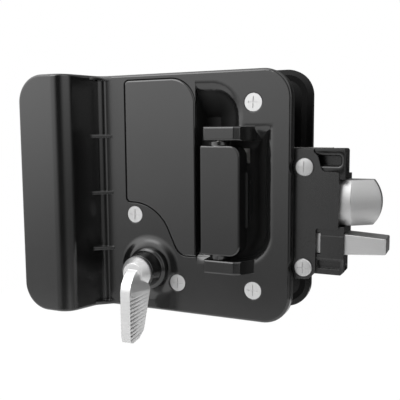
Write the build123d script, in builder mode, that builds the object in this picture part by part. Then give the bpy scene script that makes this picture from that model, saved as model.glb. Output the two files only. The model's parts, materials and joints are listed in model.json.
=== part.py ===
from build123d import *
from math import cos, hypot, radians, sin, sqrt, tan
import os

# Recreational vehicle door lock, in millimetres.
# +X points to the latch side, +Y through the door to the outside, +Z up. The script's own zero is
# the door's inner skin at mid-height of the plate's latch-side rim. Each piece is then exported
# with its origin in the middle of the seat rim on the wing's side.

# Clearances and fits
run_fit = 0.05        # radial clearance of a pin that turns or slides in its hole
slide_gap = 0.3       # gap between a sliding piece and its guide
seam_gap = 0.25       # gap round an insert that sits in a pocket
part_gap = 0.3        # gap between neighbours that move apart

# Inside plate and its pull wing
plate_height = 105.0
plate_width = 82.0
plate_depth = 4.5
plate_skin = 3.0
plate_corner = 12.0
rim_width = 4.0
plate_edge_round = 1.2
slope_foot = 6.5      # from the plate's left end to the foot of the slope
slope_run = 7.0       # how far the slope goes to the left
wing_rise = 20.0      # wing face in front of the plate face
wing_width = 23.5     # from the slope's head to the wing's tip
trough_radius = 3.6
shoulder_radius = 8.2
front_reach = 2.0     # less than the skin, more than the shoulder is rounded off
straight_back = 0.99   # an edge that goes back by this share of its length is a side seam
rib_count = 5
rib_pitch = 25.6
rib_width = 1.4
rib_reach = 5.4
rib_rise = 5.9
rib_end = 0.5         # how far a rib's end stands off the slope
seat_relief = 0.3     # gap between the rim and the door where the latch case passes

# Door: the slab that the two plates clamp, and its cut-out
door_thickness = 33.5
cutout_width = 70.0
cutout_height = 95.0
cutout_edge = 6.5     # from the origin to the cut-out's latch-side edge

# Palm pad and the dish beside it
pad_left = -74.3
pad_right = -39.8
pad_margin = 2.5      # from the pad's top to the plate's edge
pad_notch = -4.0      # level of the short lower edge on the left
pad_bottom = -26.7
pad_thickness = 2.0
pad_pocket = 1.6
pad_sweep_radius = 19.5
pad_sweep_angle = 66.0
pad_foot_radius = 5.7
pad_big_corner = 11.5
pad_small_corner = 2.2
pad_post_radius = 1.3
pad_edge_round = 0.9
dish_depth = 7.0
dish_slope = 7.5      # width of the slope from rim to floor
dish_margin = 6.0     # from the dish's top to the plate's edge
dish_bottom = -27.5
dish_right = -7.0
dish_neck = -20.0     # right edge of the dish above the upper ear
dish_corner_share = 0.72   # corner radius against the height above the upper ear
dish_rim_round = 6.0
well_start = -0.5     # the well above the upper ear goes on from the dish's slope
well_floor = 7.5
well_wall = 1.6
dish_floor_round = 5.0
dish_wall = 2.0

# Ears that carry the paddle
mid_level = -1.6      # level of the slam bolt
paddle_level = -1.1   # level of the paddle between its ears
ear_left = -33.0
ear_face_right = -19.7
ear_bevel = 2.4
ear_bevel_drop = 1.3
ear_side_end = (-10.9, 0.3)   # where an ear's side goes into the dish's slope
ear_rise = 8.0        # ear face in front of the plate face
ear_height = 5.8
ear_clear = 49.2      # clear height between the ears
ear_round = 0.9
pin_floor = 0.8       # metal left under the hinge pin

# Paddle
paddle_length = 45.4
paddle_left = -34.4
paddle_right = -17.0
paddle_rise = 8.0
paddle_thickness = 9.0
paddle_corner = 4.6
paddle_round = 0.8
paddle_back_cut = 3.2
pivot_x = -27.3
pivot_depth = 3.5     # pivot axis in front of the plate face
knuckle_radius = 4.3
paddle_pin_radius = 1.5
paddle_swing = 25.0
stop_web_root = 23.0  # height of the stop web at the paddle
stop_web_end = 10.0   # height at its outer end
stop_web_right = -16.4
stop_web_round = 1.5
stop_web_left = -25.0
finger_level = 17.0
finger_width = 5.0
finger_height = 5.0
finger_pin_radius = 1.5
finger_pin_reach = 4.2

# Plate screws
screw_radius = 2.0
screw_head_radius = 3.7
screw_pilot = 2.15
screw_point = 0.4     # bevel at a screw's tip and round a pan head
screw_tip = 31.0
screw_right = -14.0
screw_margin = 13.5   # from the screws to the plate's upper and lower edges
screw_mid = -49.0
screw_left = -70.0
screw_left_level = -9.5
screw_boss_wall = 1.6
recess_size = 5.0
recess_width = 0.55
recess_depth = 0.8

# Thumb-turn
turn_x = -62.6
turn_level = -33.0
bush_flange_radius = 9.2
bush_flange = 2.2
bush_radius = 7.9
bush_nose_radius = 7.3
bush_height = 11.0
bush_step = 1.3       # step from the bush's nose to its neck in the plate
mound_radius = 15.0
mound_height = 1.2
turn_back_radius = 6.9
turn_collar = 1.1     # straight part behind the cone
turn_face_radius = 4.6
turn_cone = 4.5       # from the grip's back to the cone's face
blade_width = 4.7
blade_rise = 11.2     # grip edge in front of the bush's nose
blade_length = 28.8   # from the turn's axis to the grip's tip
grip_brow = 2.0       # level above the axis where the grip rises from the cone
grip_shoulder = 6.6   # from the turn's axis to the grip's full depth
grip_foot = 25.0      # from the turn's axis to the foot of the ribs
grip_half_width = 6.2
grip_foot_half_width = 3.0
groove_count = 11
groove_pitch = 1.7
groove_radius = 0.55
groove_sink = 0.25    # distance of a groove's centre from the flank at the grip's edge
groove_fade = 0.75    # distance at the back, where the grooves run out
groove_rise = 1.8     # how far a groove climbs towards the back
spindle_radius = 3.0
spindle_nose = 2.5    # radius of the spindle inside the grip
spindle_tail = 22.0
washer_radius = 5.0
washer_thickness = 0.6
driver_front = 18.5
turn_range = 90.0

# Latch case
case_front = 2.0      # case face behind the door's inner skin
case_end = 22.1
case_depth = 15.5
case_top = 20.3
case_bottom = -33.2
case_left = -12.0
case_wall = 2.0
case_flange_depth = 9.5
case_step_x = -6.0    # left of it the case stays behind the dish
case_step_depth = 5.2
lip_left = 10.3
lip_level = 19.2
corner_pocket = ((9.5, 20.4), (13.4, 17.4))
corner_pocket_depth = 5.5
corner_pocket_round = 1.2
corner_ledge_round = 1.0   # round above the corner pocket
guide_left = 12.7     # block in front of the deadbolt
guide_front = 1.5
guide_top = -14.9
guide_foot = -24.2
lug_left = 11.0
lug_foot = -31.0
case_foot_round = 4.9
lug_front = 2.5
lug_back = 11.5
lug_chamfer = 1.3
lug_top = -25.3       # top of the trough
lug_groove_floor = 4.5
lug_lip = -28.6       # top of the lug's lip, below its trough
lug_wall = 1.6
lug_hole_radius = 1.5
lug_hole_length = 8.0
lug_hole_y = 7.0
lug_hole_level = -28.5
cover_thickness = 1.5
cover_left = -4.0
cover_end = 20.0
cover_ledge = 11.0    # right edge of the cover below the slam bolt
cover_top = 20.0
cover_step = 10.8     # level of the cover's edge below the corner pocket
cover_foot = -12.0    # level of its edge above the deadbolt
cover_shoulder = [(9.8, 20.0, 0.5), (9.8, 18.9, 0.5), (11.5, 17.3, 1.0), (12.5, 13.5, 1.5),
                  (13.3, 11.6, 1.0), (14.5, 11.0, 1.0)]
cover_screw_x = 6.1
cover_screw_radius = 1.5
cover_post_radius = 3.4
cover_head_height = 1.2
cover_screw_top = 12.8
cover_screw_bottom = -28.3
cover_screw_head = 3.65
scallop_radius = 5.0

# Slam bolt
bolt_height = 18.5
bolt_front = 3.0      # bolt crown behind the door's inner skin
bolt_depth = 12.0
bolt_crown = 18.0     # radius of the convex front
bolt_shoulder = 24.3  # where the ramp starts
bolt_tip = 35.2
bolt_tip_thickness = 3.2
bolt_tip_radius = 14.4
bolt_tail = 3.5
bolt_bore_radius = 3.2
bolt_bore_y = 7.3
bolt_bore_end = 17.5
spring_radius = 2.6
spring_wire = 0.4
spring_turns = 10
spring_stub = 1.8

# Deadbolt
dead_front = 3.0
dead_depth = 11.5
dead_top = -14.1
dead_height = 8.3
dead_tip = 38.3
dead_taper = 1.0      # how far the top and the foot draw in towards the tip
dead_tail = 6.5
crank_radius = 11.5

# Strips that join the bolts to the levers
strip_thickness = 2.0
bar_depth = 11.5      # front of the draw bar behind the door's inner skin
bar_height = 9.0
bar_level = -2.3
link_depth = 8.5      # front of the deadbolt's link
lever_depth = 8.0     # front of the release lever
lever_x = -23.5
lever_level = 10.17
lever_reach = 13.36   # from the lever's post to its stud
lever_swing = 58.2
lever_hub = 4.2
lever_slot = 5.0
lever_fork = 11.0
lever_slot_foot = 4.6
lever_arm_width = 6.0
lever_end_radius = 3.4
lever_post_radius = 2.5
lever_shoulder = 4.0
lever_clip_radius = 3.8
lever_stud_rivet = 1.5
bar_pin_seat = 0.7
bar_slot_wall = 1.2
link_pin_cover = 1.0
bar_stud_radius = 2.0
bar_left = -43.5
bar_end = 13.0        # end of the draw bar inside the slam bolt
bar_pin_x = 8.5
bar_lug = 3.0         # how far the bent lug reaches behind the bar
link_pin_x = 10.0
link_end = 12.8
link_arm_width = 9.0
link_arm_foot = -28.0
join_pin_radius = 1.5
crank_pin_radius = 1.6
crank_hub = 5.5
crank_end = 3.3
crank_depth = 6.0     # front of the crank
clip_thickness = 0.8
clip_groove = 0.5     # how far a clip sits into its groove
slot_slack = 0.4      # side clearance of a stud that runs in a slot

# Chassis plate
chassis_depth = 17.5  # front of the chassis plate
chassis_thickness = 2.0
chassis_gap = 0.6     # gap to the edge of the cut-out
chassis_tab_end = 14.0
chassis_corner = 5.0
chassis_screw_radius = 1.5
chassis_screw_head = 2.7
chassis_screw_head_height = 1.5
chassis_screw_reach = 8.0   # length in the bezel's boss
chassis_screws_at = [(-16.0, 20.0), (-16.0, -26.0), (-70.0, -22.0)]

# Outside bezel and handle
bezel_width = 86.0
bezel_height = 110.5
bezel_right = 1.2
bezel_corner = 12.0
bezel_flange = 3.0
bezel_dome = 6.0
bezel_wall = 2.5
gasket_thickness = 1.5
post_radius = 4.0
handle_pivot_x = -26.0
handle_pivot_rise = 3.0   # pivot axis in front of the bezel's inner face
handle_left = -60.0
handle_bottom = 2.0
handle_top = 42.0
handle_pin_radius = 1.5
handle_knuckle = 3.2
handle_thickness = 4.0
handle_corner = 4.0
handle_finger_width = 4.0
handle_finger_tip = 14.0
handle_finger_top = 1.5
handle_spring_foot = 34.0
handle_spring_top = 41.0
bezel_round = 2.0
handle_round = 1.2
handle_spring_radius = 2.3
chassis_boss_radius = 3.2
bezel_rim = 7.0       # flange width outside the dome
gasket_inset = 2.5
gasket_width = 2.5
pocket_depth = 8.0    # pocket floor behind the door's outer skin
pocket_span = (-74.0, -21.0)
pocket_levels = (-3.0, 45.0)
pocket_wall = 2.0
cylinder_radius = 8.0
cylinder_flange_radius = 9.5
cylinder_flange = 1.5
cylinder_back = 26.0
cylinder_clip_radius = 10.0
plug_radius = 5.5
plug_tail_radius = 2.5
key_slot = (1.4, 8.0)
driver_width = 4.6
driver_thickness = 1.8
cam_front = 21.7
cam_thickness = 1.6
cam_width = 3.6
cam_length = 23.5
nut_radius = 4.0
lock_x = -31.0
lock_level = -24.0

# Values that follow from the sizes above
plate_right = rim_width / 2
plate_left = plate_right - plate_width
seat_shift = -(plate_left + rim_width / 2)
pad_top = plate_height / 2 - pad_margin
dish_top = plate_height / 2 - dish_margin
screw_upper = plate_height / 2 - screw_margin
screw_lower = -screw_upper
plate_front = -plate_depth
wing_front = plate_front - wing_rise
slope_x = plate_left - slope_foot
shoulder_x = slope_x - slope_run
wing_tip = shoulder_x - wing_width
cutout_left = -cutout_edge - cutout_width
ear_front = plate_front - ear_rise
ear_top = paddle_level + ear_clear / 2
ear_foot = paddle_level - ear_clear / 2
dish_step = ear_top + ear_height - ear_round
dish_corner = dish_corner_share * (dish_top - dish_step)
pivot_y = plate_front - pivot_depth
paddle_front = plate_front - paddle_rise
paddle_back = paddle_front + paddle_thickness
paddle_top = paddle_level + paddle_length / 2
paddle_foot = paddle_level - paddle_length / 2
dish_floor = plate_front + dish_depth
bush_front = plate_front - bush_height
grip_front = bush_front - blade_rise
cover_front = case_front - cover_thickness
case_back = case_front + case_depth
bolt_back = bolt_front + bolt_depth
bolt_top = mid_level + bolt_height / 2
bolt_foot = mid_level - bolt_height / 2
dead_back = dead_front + dead_depth
dead_foot = dead_top - dead_height
grip_back = bush_front - part_gap
cone_face = grip_back - turn_cone
half_blade = blade_width / 2
spindle_front = cone_face + 1.5
bolt_channel = bolt_height / 2 + slide_gap
case_inner_left = case_left + case_wall
lever_rest = lever_swing / 2
stud_x = lever_x + lever_reach * sin(radians(lever_rest))
crank_pin_x = turn_x + crank_radius * cos(radians(turn_range / 2))
crank_pin_level = turn_level + crank_radius * sin(radians(turn_range / 2))
bezel_mid = bezel_right - bezel_width / 2
door_face = door_thickness
bezel_face = door_face + bezel_flange + bezel_dome
chassis_back = chassis_depth + chassis_thickness
handle_pivot_y = door_face + handle_pivot_rise
bar_back = bar_depth + strip_thickness
bar_top = bar_level + bar_height / 2
bar_foot = bar_level - bar_height / 2
link_back = link_depth + strip_thickness
link_top = dead_top - part_gap
link_foot = dead_foot + part_gap
link_level = (dead_top + dead_foot) / 2
lever_back = lever_depth + strip_thickness
stud_level = lever_level - lever_reach * cos(radians(lever_rest))
clip_front = lever_depth - part_gap - clip_thickness
washer_back = chassis_back + washer_thickness
pocket_floor = door_face - pocket_depth
window_top = handle_finger_top + 1.5
pivot_handle_left = handle_pivot_x - 17.0
pivot_handle_right = handle_pivot_x + 4.0
handle_face = bezel_face - 0.5
clip_seat = bezel_face - bezel_wall - clip_thickness
nut_front = cam_front - 1.7
finger_root = lever_depth - 0.9
finger_sweep = (finger_root - pivot_y) * sin(radians(paddle_swing)) + finger_width / 2 + 0.6
pad_posts = [(pad_left + 5, pad_top - 5), (pad_right - 5, pad_top - 14), (pad_right - 5, pad_bottom + 5)]
screws = [(screw_right, screw_upper), (screw_right, screw_lower), (screw_mid, screw_lower),
          (screw_left, screw_left_level)]


def across(y):
    """Plane across the door at depth y, with local axes along X and Z, facing the inside."""
    return Plane.XZ.offset(-y)


def block(x_span, y_span, z_span, mode=Mode.ADD):
    """Box between three pairs of planes."""
    spans = (x_span, y_span, z_span)
    with Locations(tuple((low + high) / 2 for low, high in spans)):
        Box(*(abs(high - low) for low, high in spans), mode=mode)


def cross_bar(radius, x, level, y_start, y_end, mode=Mode.ADD):
    """Round bar along Y."""
    with BuildSketch(across(y_start)) as disc:
        with Locations((x, level)):
            Circle(radius)
    extrude(disc.sketch, amount=y_start - y_end, mode=mode)


def upright_bar(radius, x, y, z_start, z_end, mode=Mode.ADD):
    """Round bar along Z."""
    with BuildSketch(Plane.XY.offset(z_start)) as disc:
        with Locations((x, y)):
            Circle(radius)
    extrude(disc.sketch, amount=z_end - z_start, mode=mode)


def long_bar(radius, y, level, x_start, x_end, mode=Mode.ADD):
    """Round bar along X."""
    with BuildSketch(Plane.YZ.offset(x_start)) as disc:
        with Locations((y, level)):
            Circle(radius)
    extrude(disc.sketch, amount=x_end - x_start, mode=mode)


def turned(x, level, profile, mode=Mode.ADD):
    """Revolve a profile of (radius, y) corners about an axis along Y."""
    with BuildSketch(Plane.XY.offset(level)) as half:
        with BuildLine():
            Polyline(*((x + radius, y) for radius, y in profile), close=True)
        make_face()
    revolve(half.sketch, axis=Axis((x, 0, level), (0, 1, 0)), mode=mode)


def cross_recess(x, level, y_face):
    """Cross recess in a screw head."""
    for half_x, half_z in ((recess_size / 2, recess_width / 2), (recess_width / 2, recess_size / 2)):
        block((x - half_x, x + half_x), (y_face - 1, y_face + recess_depth),
              (level - half_z, level + half_z), Mode.SUBTRACT)


def flat_screw(x, level, y_face, y_tip):
    """Countersunk screw with its face flush at y_face."""
    turned(x, level, [(0, y_face), (screw_head_radius, y_face),
                      (screw_radius, y_face + screw_head_radius - screw_radius),
                      (screw_radius, y_tip - screw_point), (screw_radius - screw_point, y_tip), (0, y_tip)])
    cross_recess(x, level, y_face)


def pan_screw(x, level, y_seat, y_tip, head_radius, head_height, radius):
    """Pan-head screw whose head rests at y_seat and faces the inside."""
    turned(x, level, [(0, y_seat - head_height), (head_radius - screw_point, y_seat - head_height),
                      (head_radius, y_seat - head_height + screw_point), (head_radius, y_seat),
                      (radius, y_seat), (radius, y_tip), (0, y_tip)])
    cross_recess(x, level, y_seat - head_height)


def coil(center, direction, length, turns, radius, wire):
    """Helical spring whose ends lie on the planes at both ends of its length."""
    axis = Vector(*direction)
    path = Helix(pitch=(length - 2 * wire) / turns, height=length - 2 * wire, radius=radius,
                 center=Vector(*center) + axis * wire, direction=direction)
    with BuildSketch(Plane(origin=path @ 0, z_dir=path % 0)) as section:
        RegularPolygon(wire, 6)
    sweep(section.sketch, path=path)


def plate_between(outline, y_start, y_end, mode=Mode.ADD):
    """Extrude an outline of (x, z) corners with fillet radii between two depths."""
    with BuildSketch(across(y_start)) as face:
        with BuildLine():
            FilletPolyline(*(corner[:2] for corner in outline),
                           radius=[corner[2] for corner in outline], close=True)
        make_face()
    extrude(face.sketch, amount=y_start - y_end, mode=mode)


def level_prism(outline, z_start, z_end, mode=Mode.ADD):
    """Extrude an outline of (x, y) corners with fillet radii between two levels."""
    with BuildSketch(Plane.XY.offset(z_start)) as face:
        with BuildLine():
            FilletPolyline(*(corner[:2] for corner in outline),
                           radius=[corner[2] for corner in outline], close=True)
        make_face()
    extrude(face.sketch, amount=z_end - z_start, mode=mode)


def save(piece, label):
    """Export a piece with its origin in the middle of the seat rim on the wing's side."""
    placed = piece.part.moved(Location((seat_shift, 0, 0)))
    placed.label = label
    export_step(placed, f"parts/{label}.step")


os.makedirs("parts", exist_ok=True)


# Inside plate: a plate that rises in an S to the pull wing, with ribs in the trough

def on_outline(edge, x_low, x_high):
    """True where an edge lies on the plate's rounded outline, seen from the front."""
    middle = edge @ 0.5
    inset_x = min(middle.X - x_low, x_high - middle.X)
    inset_z = plate_height / 2 - abs(middle.Z)
    if inset_x > plate_corner or inset_z > plate_corner:
        return min(inset_x, inset_z) < 0.01
    reach = hypot(plate_corner - inset_x, plate_corner - inset_z)
    return abs(reach - plate_corner) < 0.01


def front_depth(x):
    """Depth of the front surface at x, with the fillets left out."""
    if x > slope_x:
        return plate_front
    return max(wing_front, plate_front - (slope_x - x) * wing_rise / slope_run)


def dish_outline(grow, drop):
    """Corners of the dish, grown by a wall and drawn in by the slope at its floor."""
    right, neck = dish_right + grow - drop, dish_neck + grow - drop
    low, top = dish_bottom - grow + drop, dish_top + grow - drop
    step = dish_step + grow - drop
    left = pad_right - grow
    corner = dish_corner + grow - drop
    return [(left, low, 0.0), (right, low, corner), (right, step, 0.0), (neck, step, 0.0),
            (neck, top, corner), (left, top, 0.0)]


def dish_solid(grow, y_rim, y_floor, mode):
    """Loft the dish between its rim and its floor."""
    with BuildSketch(across(y_rim)) as rim:
        with BuildLine():
            corners = dish_outline(grow, 0.0)
            FilletPolyline(*(c[:2] for c in corners), radius=[c[2] for c in corners], close=True)
        make_face()
    with BuildSketch(across(y_floor)) as floor:
        with BuildLine():
            corners = dish_outline(grow, dish_slope)
            FilletPolyline(*(c[:2] for c in corners), radius=[c[2] for c in corners], close=True)
        make_face()
    loft([rim.sketch.faces()[0], floor.sketch.faces()[0]], ruled=True, mode=mode)


def well_solid(grow, y_end, mode):
    """Well above the upper ear, whose sides go on from the slopes of the dish."""
    levels = []
    for y in (well_start, y_end):
        drop = (y - plate_front) * dish_slope / dish_depth
        right, top = dish_neck + grow - drop, dish_top + grow - drop
        with BuildSketch(across(y)) as level:
            with BuildLine():
                FilletPolyline((pad_right - grow, dish_step - grow), (right, dish_step - grow), (right, top),
                               (pad_right - grow, top), close=True,
                               radius=[0.0, 0.0, max(dish_corner + grow - drop, run_fit), 0.0])
            make_face()
        levels.append(level.sketch.faces()[0])
    loft(levels, ruled=True, mode=mode)


def dish_edges(piece, y, drop):
    """Edges of the dish at depth y, apart from the upright wall beside the pad."""
    def on_dish(edge):
        middle = edge @ 0.5
        return (pad_right + 0.1 < middle.X < dish_right - drop + 0.1
                and dish_bottom + drop - 0.1 < middle.Z < dish_top - drop + 0.1)
    return piece.edges().filter_by_position(Axis.Y, y - 0.01, y + 0.01).filter_by(on_dish)


def pad_face(inset):
    """Outline of the palm pad, drawn in by inset."""
    left, right = pad_left + inset, pad_right
    top, foot, notch = pad_top - inset, pad_bottom + inset, pad_notch + inset
    turn = radians(pad_sweep_angle)
    with BuildSketch(Plane.XY) as face:
        with BuildLine():
            sweep_x = pad_left + pad_small_corner + 1.0
            upper = JernArc((sweep_x, notch), (1, 0), pad_sweep_radius + inset, -pad_sweep_angle)
            end = upper @ 1
            drop = (pad_foot_radius - inset) * (1 - cos(turn))
            slide = (end.Y - foot - drop) / sin(turn)
            ramp = Line(end, end + (upper % 1) * slide)
            lower = JernArc(ramp @ 1, upper % 1, pad_foot_radius - inset, pad_sweep_angle)
            FilletPolyline(lower @ 1, (right, foot), (right, top), (left, top), (left, notch),
                           upper @ 0, radius=[0.6, pad_big_corner, pad_small_corner,
                                              pad_small_corner])
        make_face()
    return face.sketch


def ear_solid(z_low, z_high):
    """One ear: a block over the dish with a bevelled face and a steep side down to the floor."""
    level_prism([(ear_left, ear_front, 0.0), (ear_face_right, ear_front, 0.0),
                 (ear_face_right + ear_bevel, ear_front + ear_bevel_drop, 0.0),
                 (*ear_side_end, 0.0), (dish_right - dish_slope, dish_floor + dish_wall / 2, 0.0),
                 (ear_left, dish_floor + dish_wall, 0.0)], z_low, z_high)


with BuildPart() as ear_blank:
    ear_solid(ear_top, ear_top + ear_height)
    ear_solid(ear_foot - ear_height, ear_foot)
    face_edges = (ear_blank.edges().filter_by_position(Axis.Y, ear_front - 1, plate_front - 1)
                  .filter_by(lambda e: (e @ 0.5).Y < plate_front - ear_bevel_drop))
    fillet(face_edges, ear_round)

with BuildPart() as inside_escutcheon:
    with BuildSketch(Plane.XY):
        with BuildLine():
            front_run = FilletPolyline((plate_right, plate_front), (slope_x, plate_front),
                                       (shoulder_x, wing_front), (wing_tip, wing_front),
                                       radius=[trough_radius, shoulder_radius])
            offset(front_run, amount=plate_skin, side=Side.RIGHT)
        make_face()
    extrude(amount=plate_height / 2, both=True)
    with BuildSketch(across(0)):
        with Locations(((plate_left + plate_right) / 2, 0)):
            RectangleRounded(plate_width, plate_height, plate_corner)
            RectangleRounded(plate_width - 2 * rim_width, plate_height - 2 * rim_width,
                             plate_corner - rim_width, mode=Mode.SUBTRACT)
    extrude(amount=plate_depth - plate_skin + 0.5)
    with BuildSketch(across(dish_floor + dish_wall + 1)):
        with Locations(((plate_right + wing_tip) / 2, 0)):
            RectangleRounded(plate_right - wing_tip, plate_height, plate_corner)
    extrude(amount=2 * wing_rise + plate_height, mode=Mode.INTERSECT)
    dish_solid(dish_wall, plate_front + plate_skin, dish_floor + dish_wall, Mode.ADD)
    well_solid(well_wall, well_floor + well_wall, Mode.ADD)
    with BuildSketch(Plane.XY.offset(turn_level)):
        with BuildLine():
            crown = Spline((turn_x + mound_radius, plate_front),
                           (turn_x + bush_flange_radius, plate_front - mound_height),
                           tangents=[(-1, 0), (-1, 0)])
            Polyline(crown @ 1, (turn_x, plate_front - mound_height), (turn_x, plate_front + 1),
                     (turn_x + mound_radius, plate_front + 1), crown @ 0)
        make_face()
    revolve(axis=Axis((turn_x, 0, turn_level), (0, 1, 0)))
    dish_solid(0.0, plate_front, dish_floor, Mode.SUBTRACT)
    fillet(dish_edges(inside_escutcheon, dish_floor, dish_slope), dish_floor_round)
    fillet(dish_edges(inside_escutcheon, plate_front, 0.0), dish_rim_round)
    rim_edges = [e for e in inside_escutcheon.edges() if on_outline(e, wing_tip, plate_right)
                 and (e @ 0.5).Y < front_depth((e @ 0.5).X) + front_reach and e.length > 1
                 and abs((e @ 1).Y - (e @ 0).Y) < straight_back * e.length]
    fillet(rim_edges, plate_edge_round)
    well_solid(0.0, well_floor, Mode.SUBTRACT)
    rib_levels = [(i - (rib_count - 1) / 2) * rib_pitch for i in range(rib_count)]
    rib_x, rib_y = slope_x - slope_run * rib_rise / wing_rise, plate_front - rib_rise
    slope_length = hypot(slope_run, wing_rise)
    for level in rib_levels:
        level_prism([(slope_x + rib_reach, plate_front, 0.0), (slope_x + rib_reach, plate_front + 1, 0.0),
                     (slope_x, plate_front + 1, 0.0), (rib_x, rib_y, 0.0),
                     (rib_x + rib_end * wing_rise / slope_length,
                      rib_y - rib_end * slope_run / slope_length, 0.0)],
                    level - rib_width / 2, level + rib_width / 2)
    add(ear_blank.part)
    with BuildSketch(across(plate_front)) as pocket:
        add(pad_face(-seam_gap))
    extrude(pocket.sketch, amount=-pad_pocket, mode=Mode.SUBTRACT)
    for x, level in pad_posts:
        cross_bar(pad_post_radius + run_fit, x, level, plate_front, 1.0, Mode.SUBTRACT)
    for x, level in screws:
        cross_bar(screw_pilot + screw_boss_wall, x, level, plate_front + 1, 0.0)
        cross_bar(screw_pilot, x, level, plate_front - 1, 1.0, Mode.SUBTRACT)
        with Locations(Location((x, plate_front, level), (90, 0, 0))):
            CounterSinkHole(screw_pilot, screw_head_radius + seam_gap, depth=plate_depth + 1)
    cross_bar(bush_nose_radius - bush_step, turn_x, turn_level, wing_front, 1.0, Mode.SUBTRACT)
    upright_bar(paddle_pin_radius, pivot_x, pivot_y, ear_foot - ear_height + pin_floor,
                ear_top + ear_height + 1, Mode.SUBTRACT)
    block((pivot_x - finger_width, pivot_x + finger_sweep), (plate_front + 1, dish_floor + 9),
          (finger_level - finger_height / 2 - 0.6, finger_level + finger_height / 2 + 0.6), Mode.SUBTRACT)
    for level in (cover_screw_top, cover_screw_bottom):
        cross_bar(scallop_radius, cover_screw_x, level, wing_front, 1.0, Mode.SUBTRACT)
    block((plate_right - rim_width - 1, plate_right + 1), (-seat_relief, 1),
          (case_bottom - part_gap, case_top + part_gap), Mode.SUBTRACT)
save(inside_escutcheon, "inside_escutcheon")


# Palm pad: the flat insert at the left of the dish, held by posts

with BuildPart() as palm_pad:
    extrude(Plane.XZ.offset(-plate_front - pad_pocket) * pad_face(0.0), amount=pad_thickness)
    front_edges = palm_pad.faces().sort_by(Axis.Y)[0].edges()
    fillet(front_edges, pad_edge_round)
    for x, level in pad_posts:
        cross_bar(pad_post_radius, x, level, plate_front + pad_pocket, -0.5)
save(palm_pad, "palm_pad")


# Paddle on its pin between the ears

with BuildPart() as inside_paddle:
    plate_between([(paddle_left, paddle_top, paddle_round), (paddle_right, paddle_top, paddle_corner),
                   (paddle_right, paddle_foot, paddle_corner), (paddle_left, paddle_foot, paddle_round)],
                  paddle_front, paddle_back)
    level_prism([(paddle_left, paddle_front, 0.0), (paddle_right, paddle_front, 0.0),
                 (paddle_right, paddle_back, 0.0), (pivot_x - paddle_back_cut, paddle_back, 0.0),
                 (paddle_left, pivot_y + 1, 0.0)], paddle_foot, paddle_top, Mode.INTERSECT)
    fillet(inside_paddle.faces().sort_by(Axis.Y)[0].edges(), paddle_round)
    upright_bar(knuckle_radius, pivot_x, pivot_y, ear_foot + part_gap, ear_top - part_gap)
    with BuildSketch(Plane.YZ.offset(stop_web_left)) as web:
        with BuildLine():
            web_foot = dish_floor - part_gap
            FilletPolyline((paddle_back - 1, paddle_level - stop_web_root / 2),
                           (web_foot, paddle_level - stop_web_end / 2),
                           (web_foot, paddle_level + stop_web_end / 2),
                           (paddle_back - 1, paddle_level + stop_web_root / 2),
                           radius=[0.0, stop_web_round, stop_web_round, 0.0], close=True)
        make_face()
    extrude(web.sketch, amount=stop_web_right - stop_web_left)
    level_prism([(pivot_x - finger_width / 2, paddle_back - 1, 0.0),
                 (pivot_x + finger_width / 2, paddle_back - 1, 0.0),
                 (pivot_x + finger_width / 2, finger_root, 1.0),
                 (pivot_x - finger_width / 2, finger_root, 1.0)],
                finger_level - finger_height / 2, finger_level + finger_height / 2)
    cross_bar(finger_pin_radius, pivot_x, finger_level, finger_root, finger_root - 6, Mode.SUBTRACT)
    upright_bar(paddle_pin_radius + run_fit, pivot_x, pivot_y, ear_foot, ear_top, Mode.SUBTRACT)
save(inside_paddle, "inside_paddle")

with BuildPart() as finger_pin:
    cross_bar(finger_pin_radius, pivot_x, finger_level, finger_root - 6, finger_root + finger_pin_reach)
    chamfer(finger_pin.faces().sort_by(Axis.Y)[-1].edges(), 0.3)
save(finger_pin, "finger_pin")

with BuildPart() as paddle_pin:
    upright_bar(paddle_pin_radius, pivot_x, pivot_y, ear_foot - ear_height + pin_floor,
                ear_top + ear_height - pin_floor)
save(paddle_pin, "paddle_pin")


# Thumb-turn: bush, tapered grip with ribs, spindle and crank

with BuildPart() as turn_bush:
    with BuildSketch(Plane.XY.offset(turn_level)):
        with BuildLine():
            Polyline((turn_x + spindle_radius + run_fit, 0),
                     (turn_x + bush_nose_radius - bush_step, 0),
                     (turn_x + bush_nose_radius - bush_step, plate_front - mound_height),
                     (turn_x + bush_flange_radius, plate_front - mound_height),
                     (turn_x + bush_flange_radius, plate_front - mound_height - bush_flange),
                     (turn_x + bush_radius, plate_front - mound_height - bush_flange - 0.8),
                     (turn_x + bush_nose_radius, bush_front),
                     (turn_x + spindle_radius + run_fit, bush_front),
                     (turn_x + spindle_radius + run_fit, 0))
        make_face()
    revolve(axis=Axis((turn_x, 0, turn_level), (0, 1, 0)))
    rims = turn_bush.edges().filter_by(GeomType.CIRCLE).group_by(Axis.Y)
    fillet(rims[0].sort_by(SortBy.RADIUS)[-1:], 0.6)
save(turn_bush, "turn_bush")


def grip_section(level, half_back, y_back, half_front, y_front):
    """One level of the grip: a trapezoid that narrows to the front."""
    with BuildSketch(Plane.XY.offset(level)) as section:
        with BuildLine():
            Polyline((turn_x - half_back, y_back), (turn_x + half_back, y_back),
                     (turn_x + half_front, y_front), (turn_x - half_front, y_front), close=True)
        make_face()
    return section.sketch.faces()[0]


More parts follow.
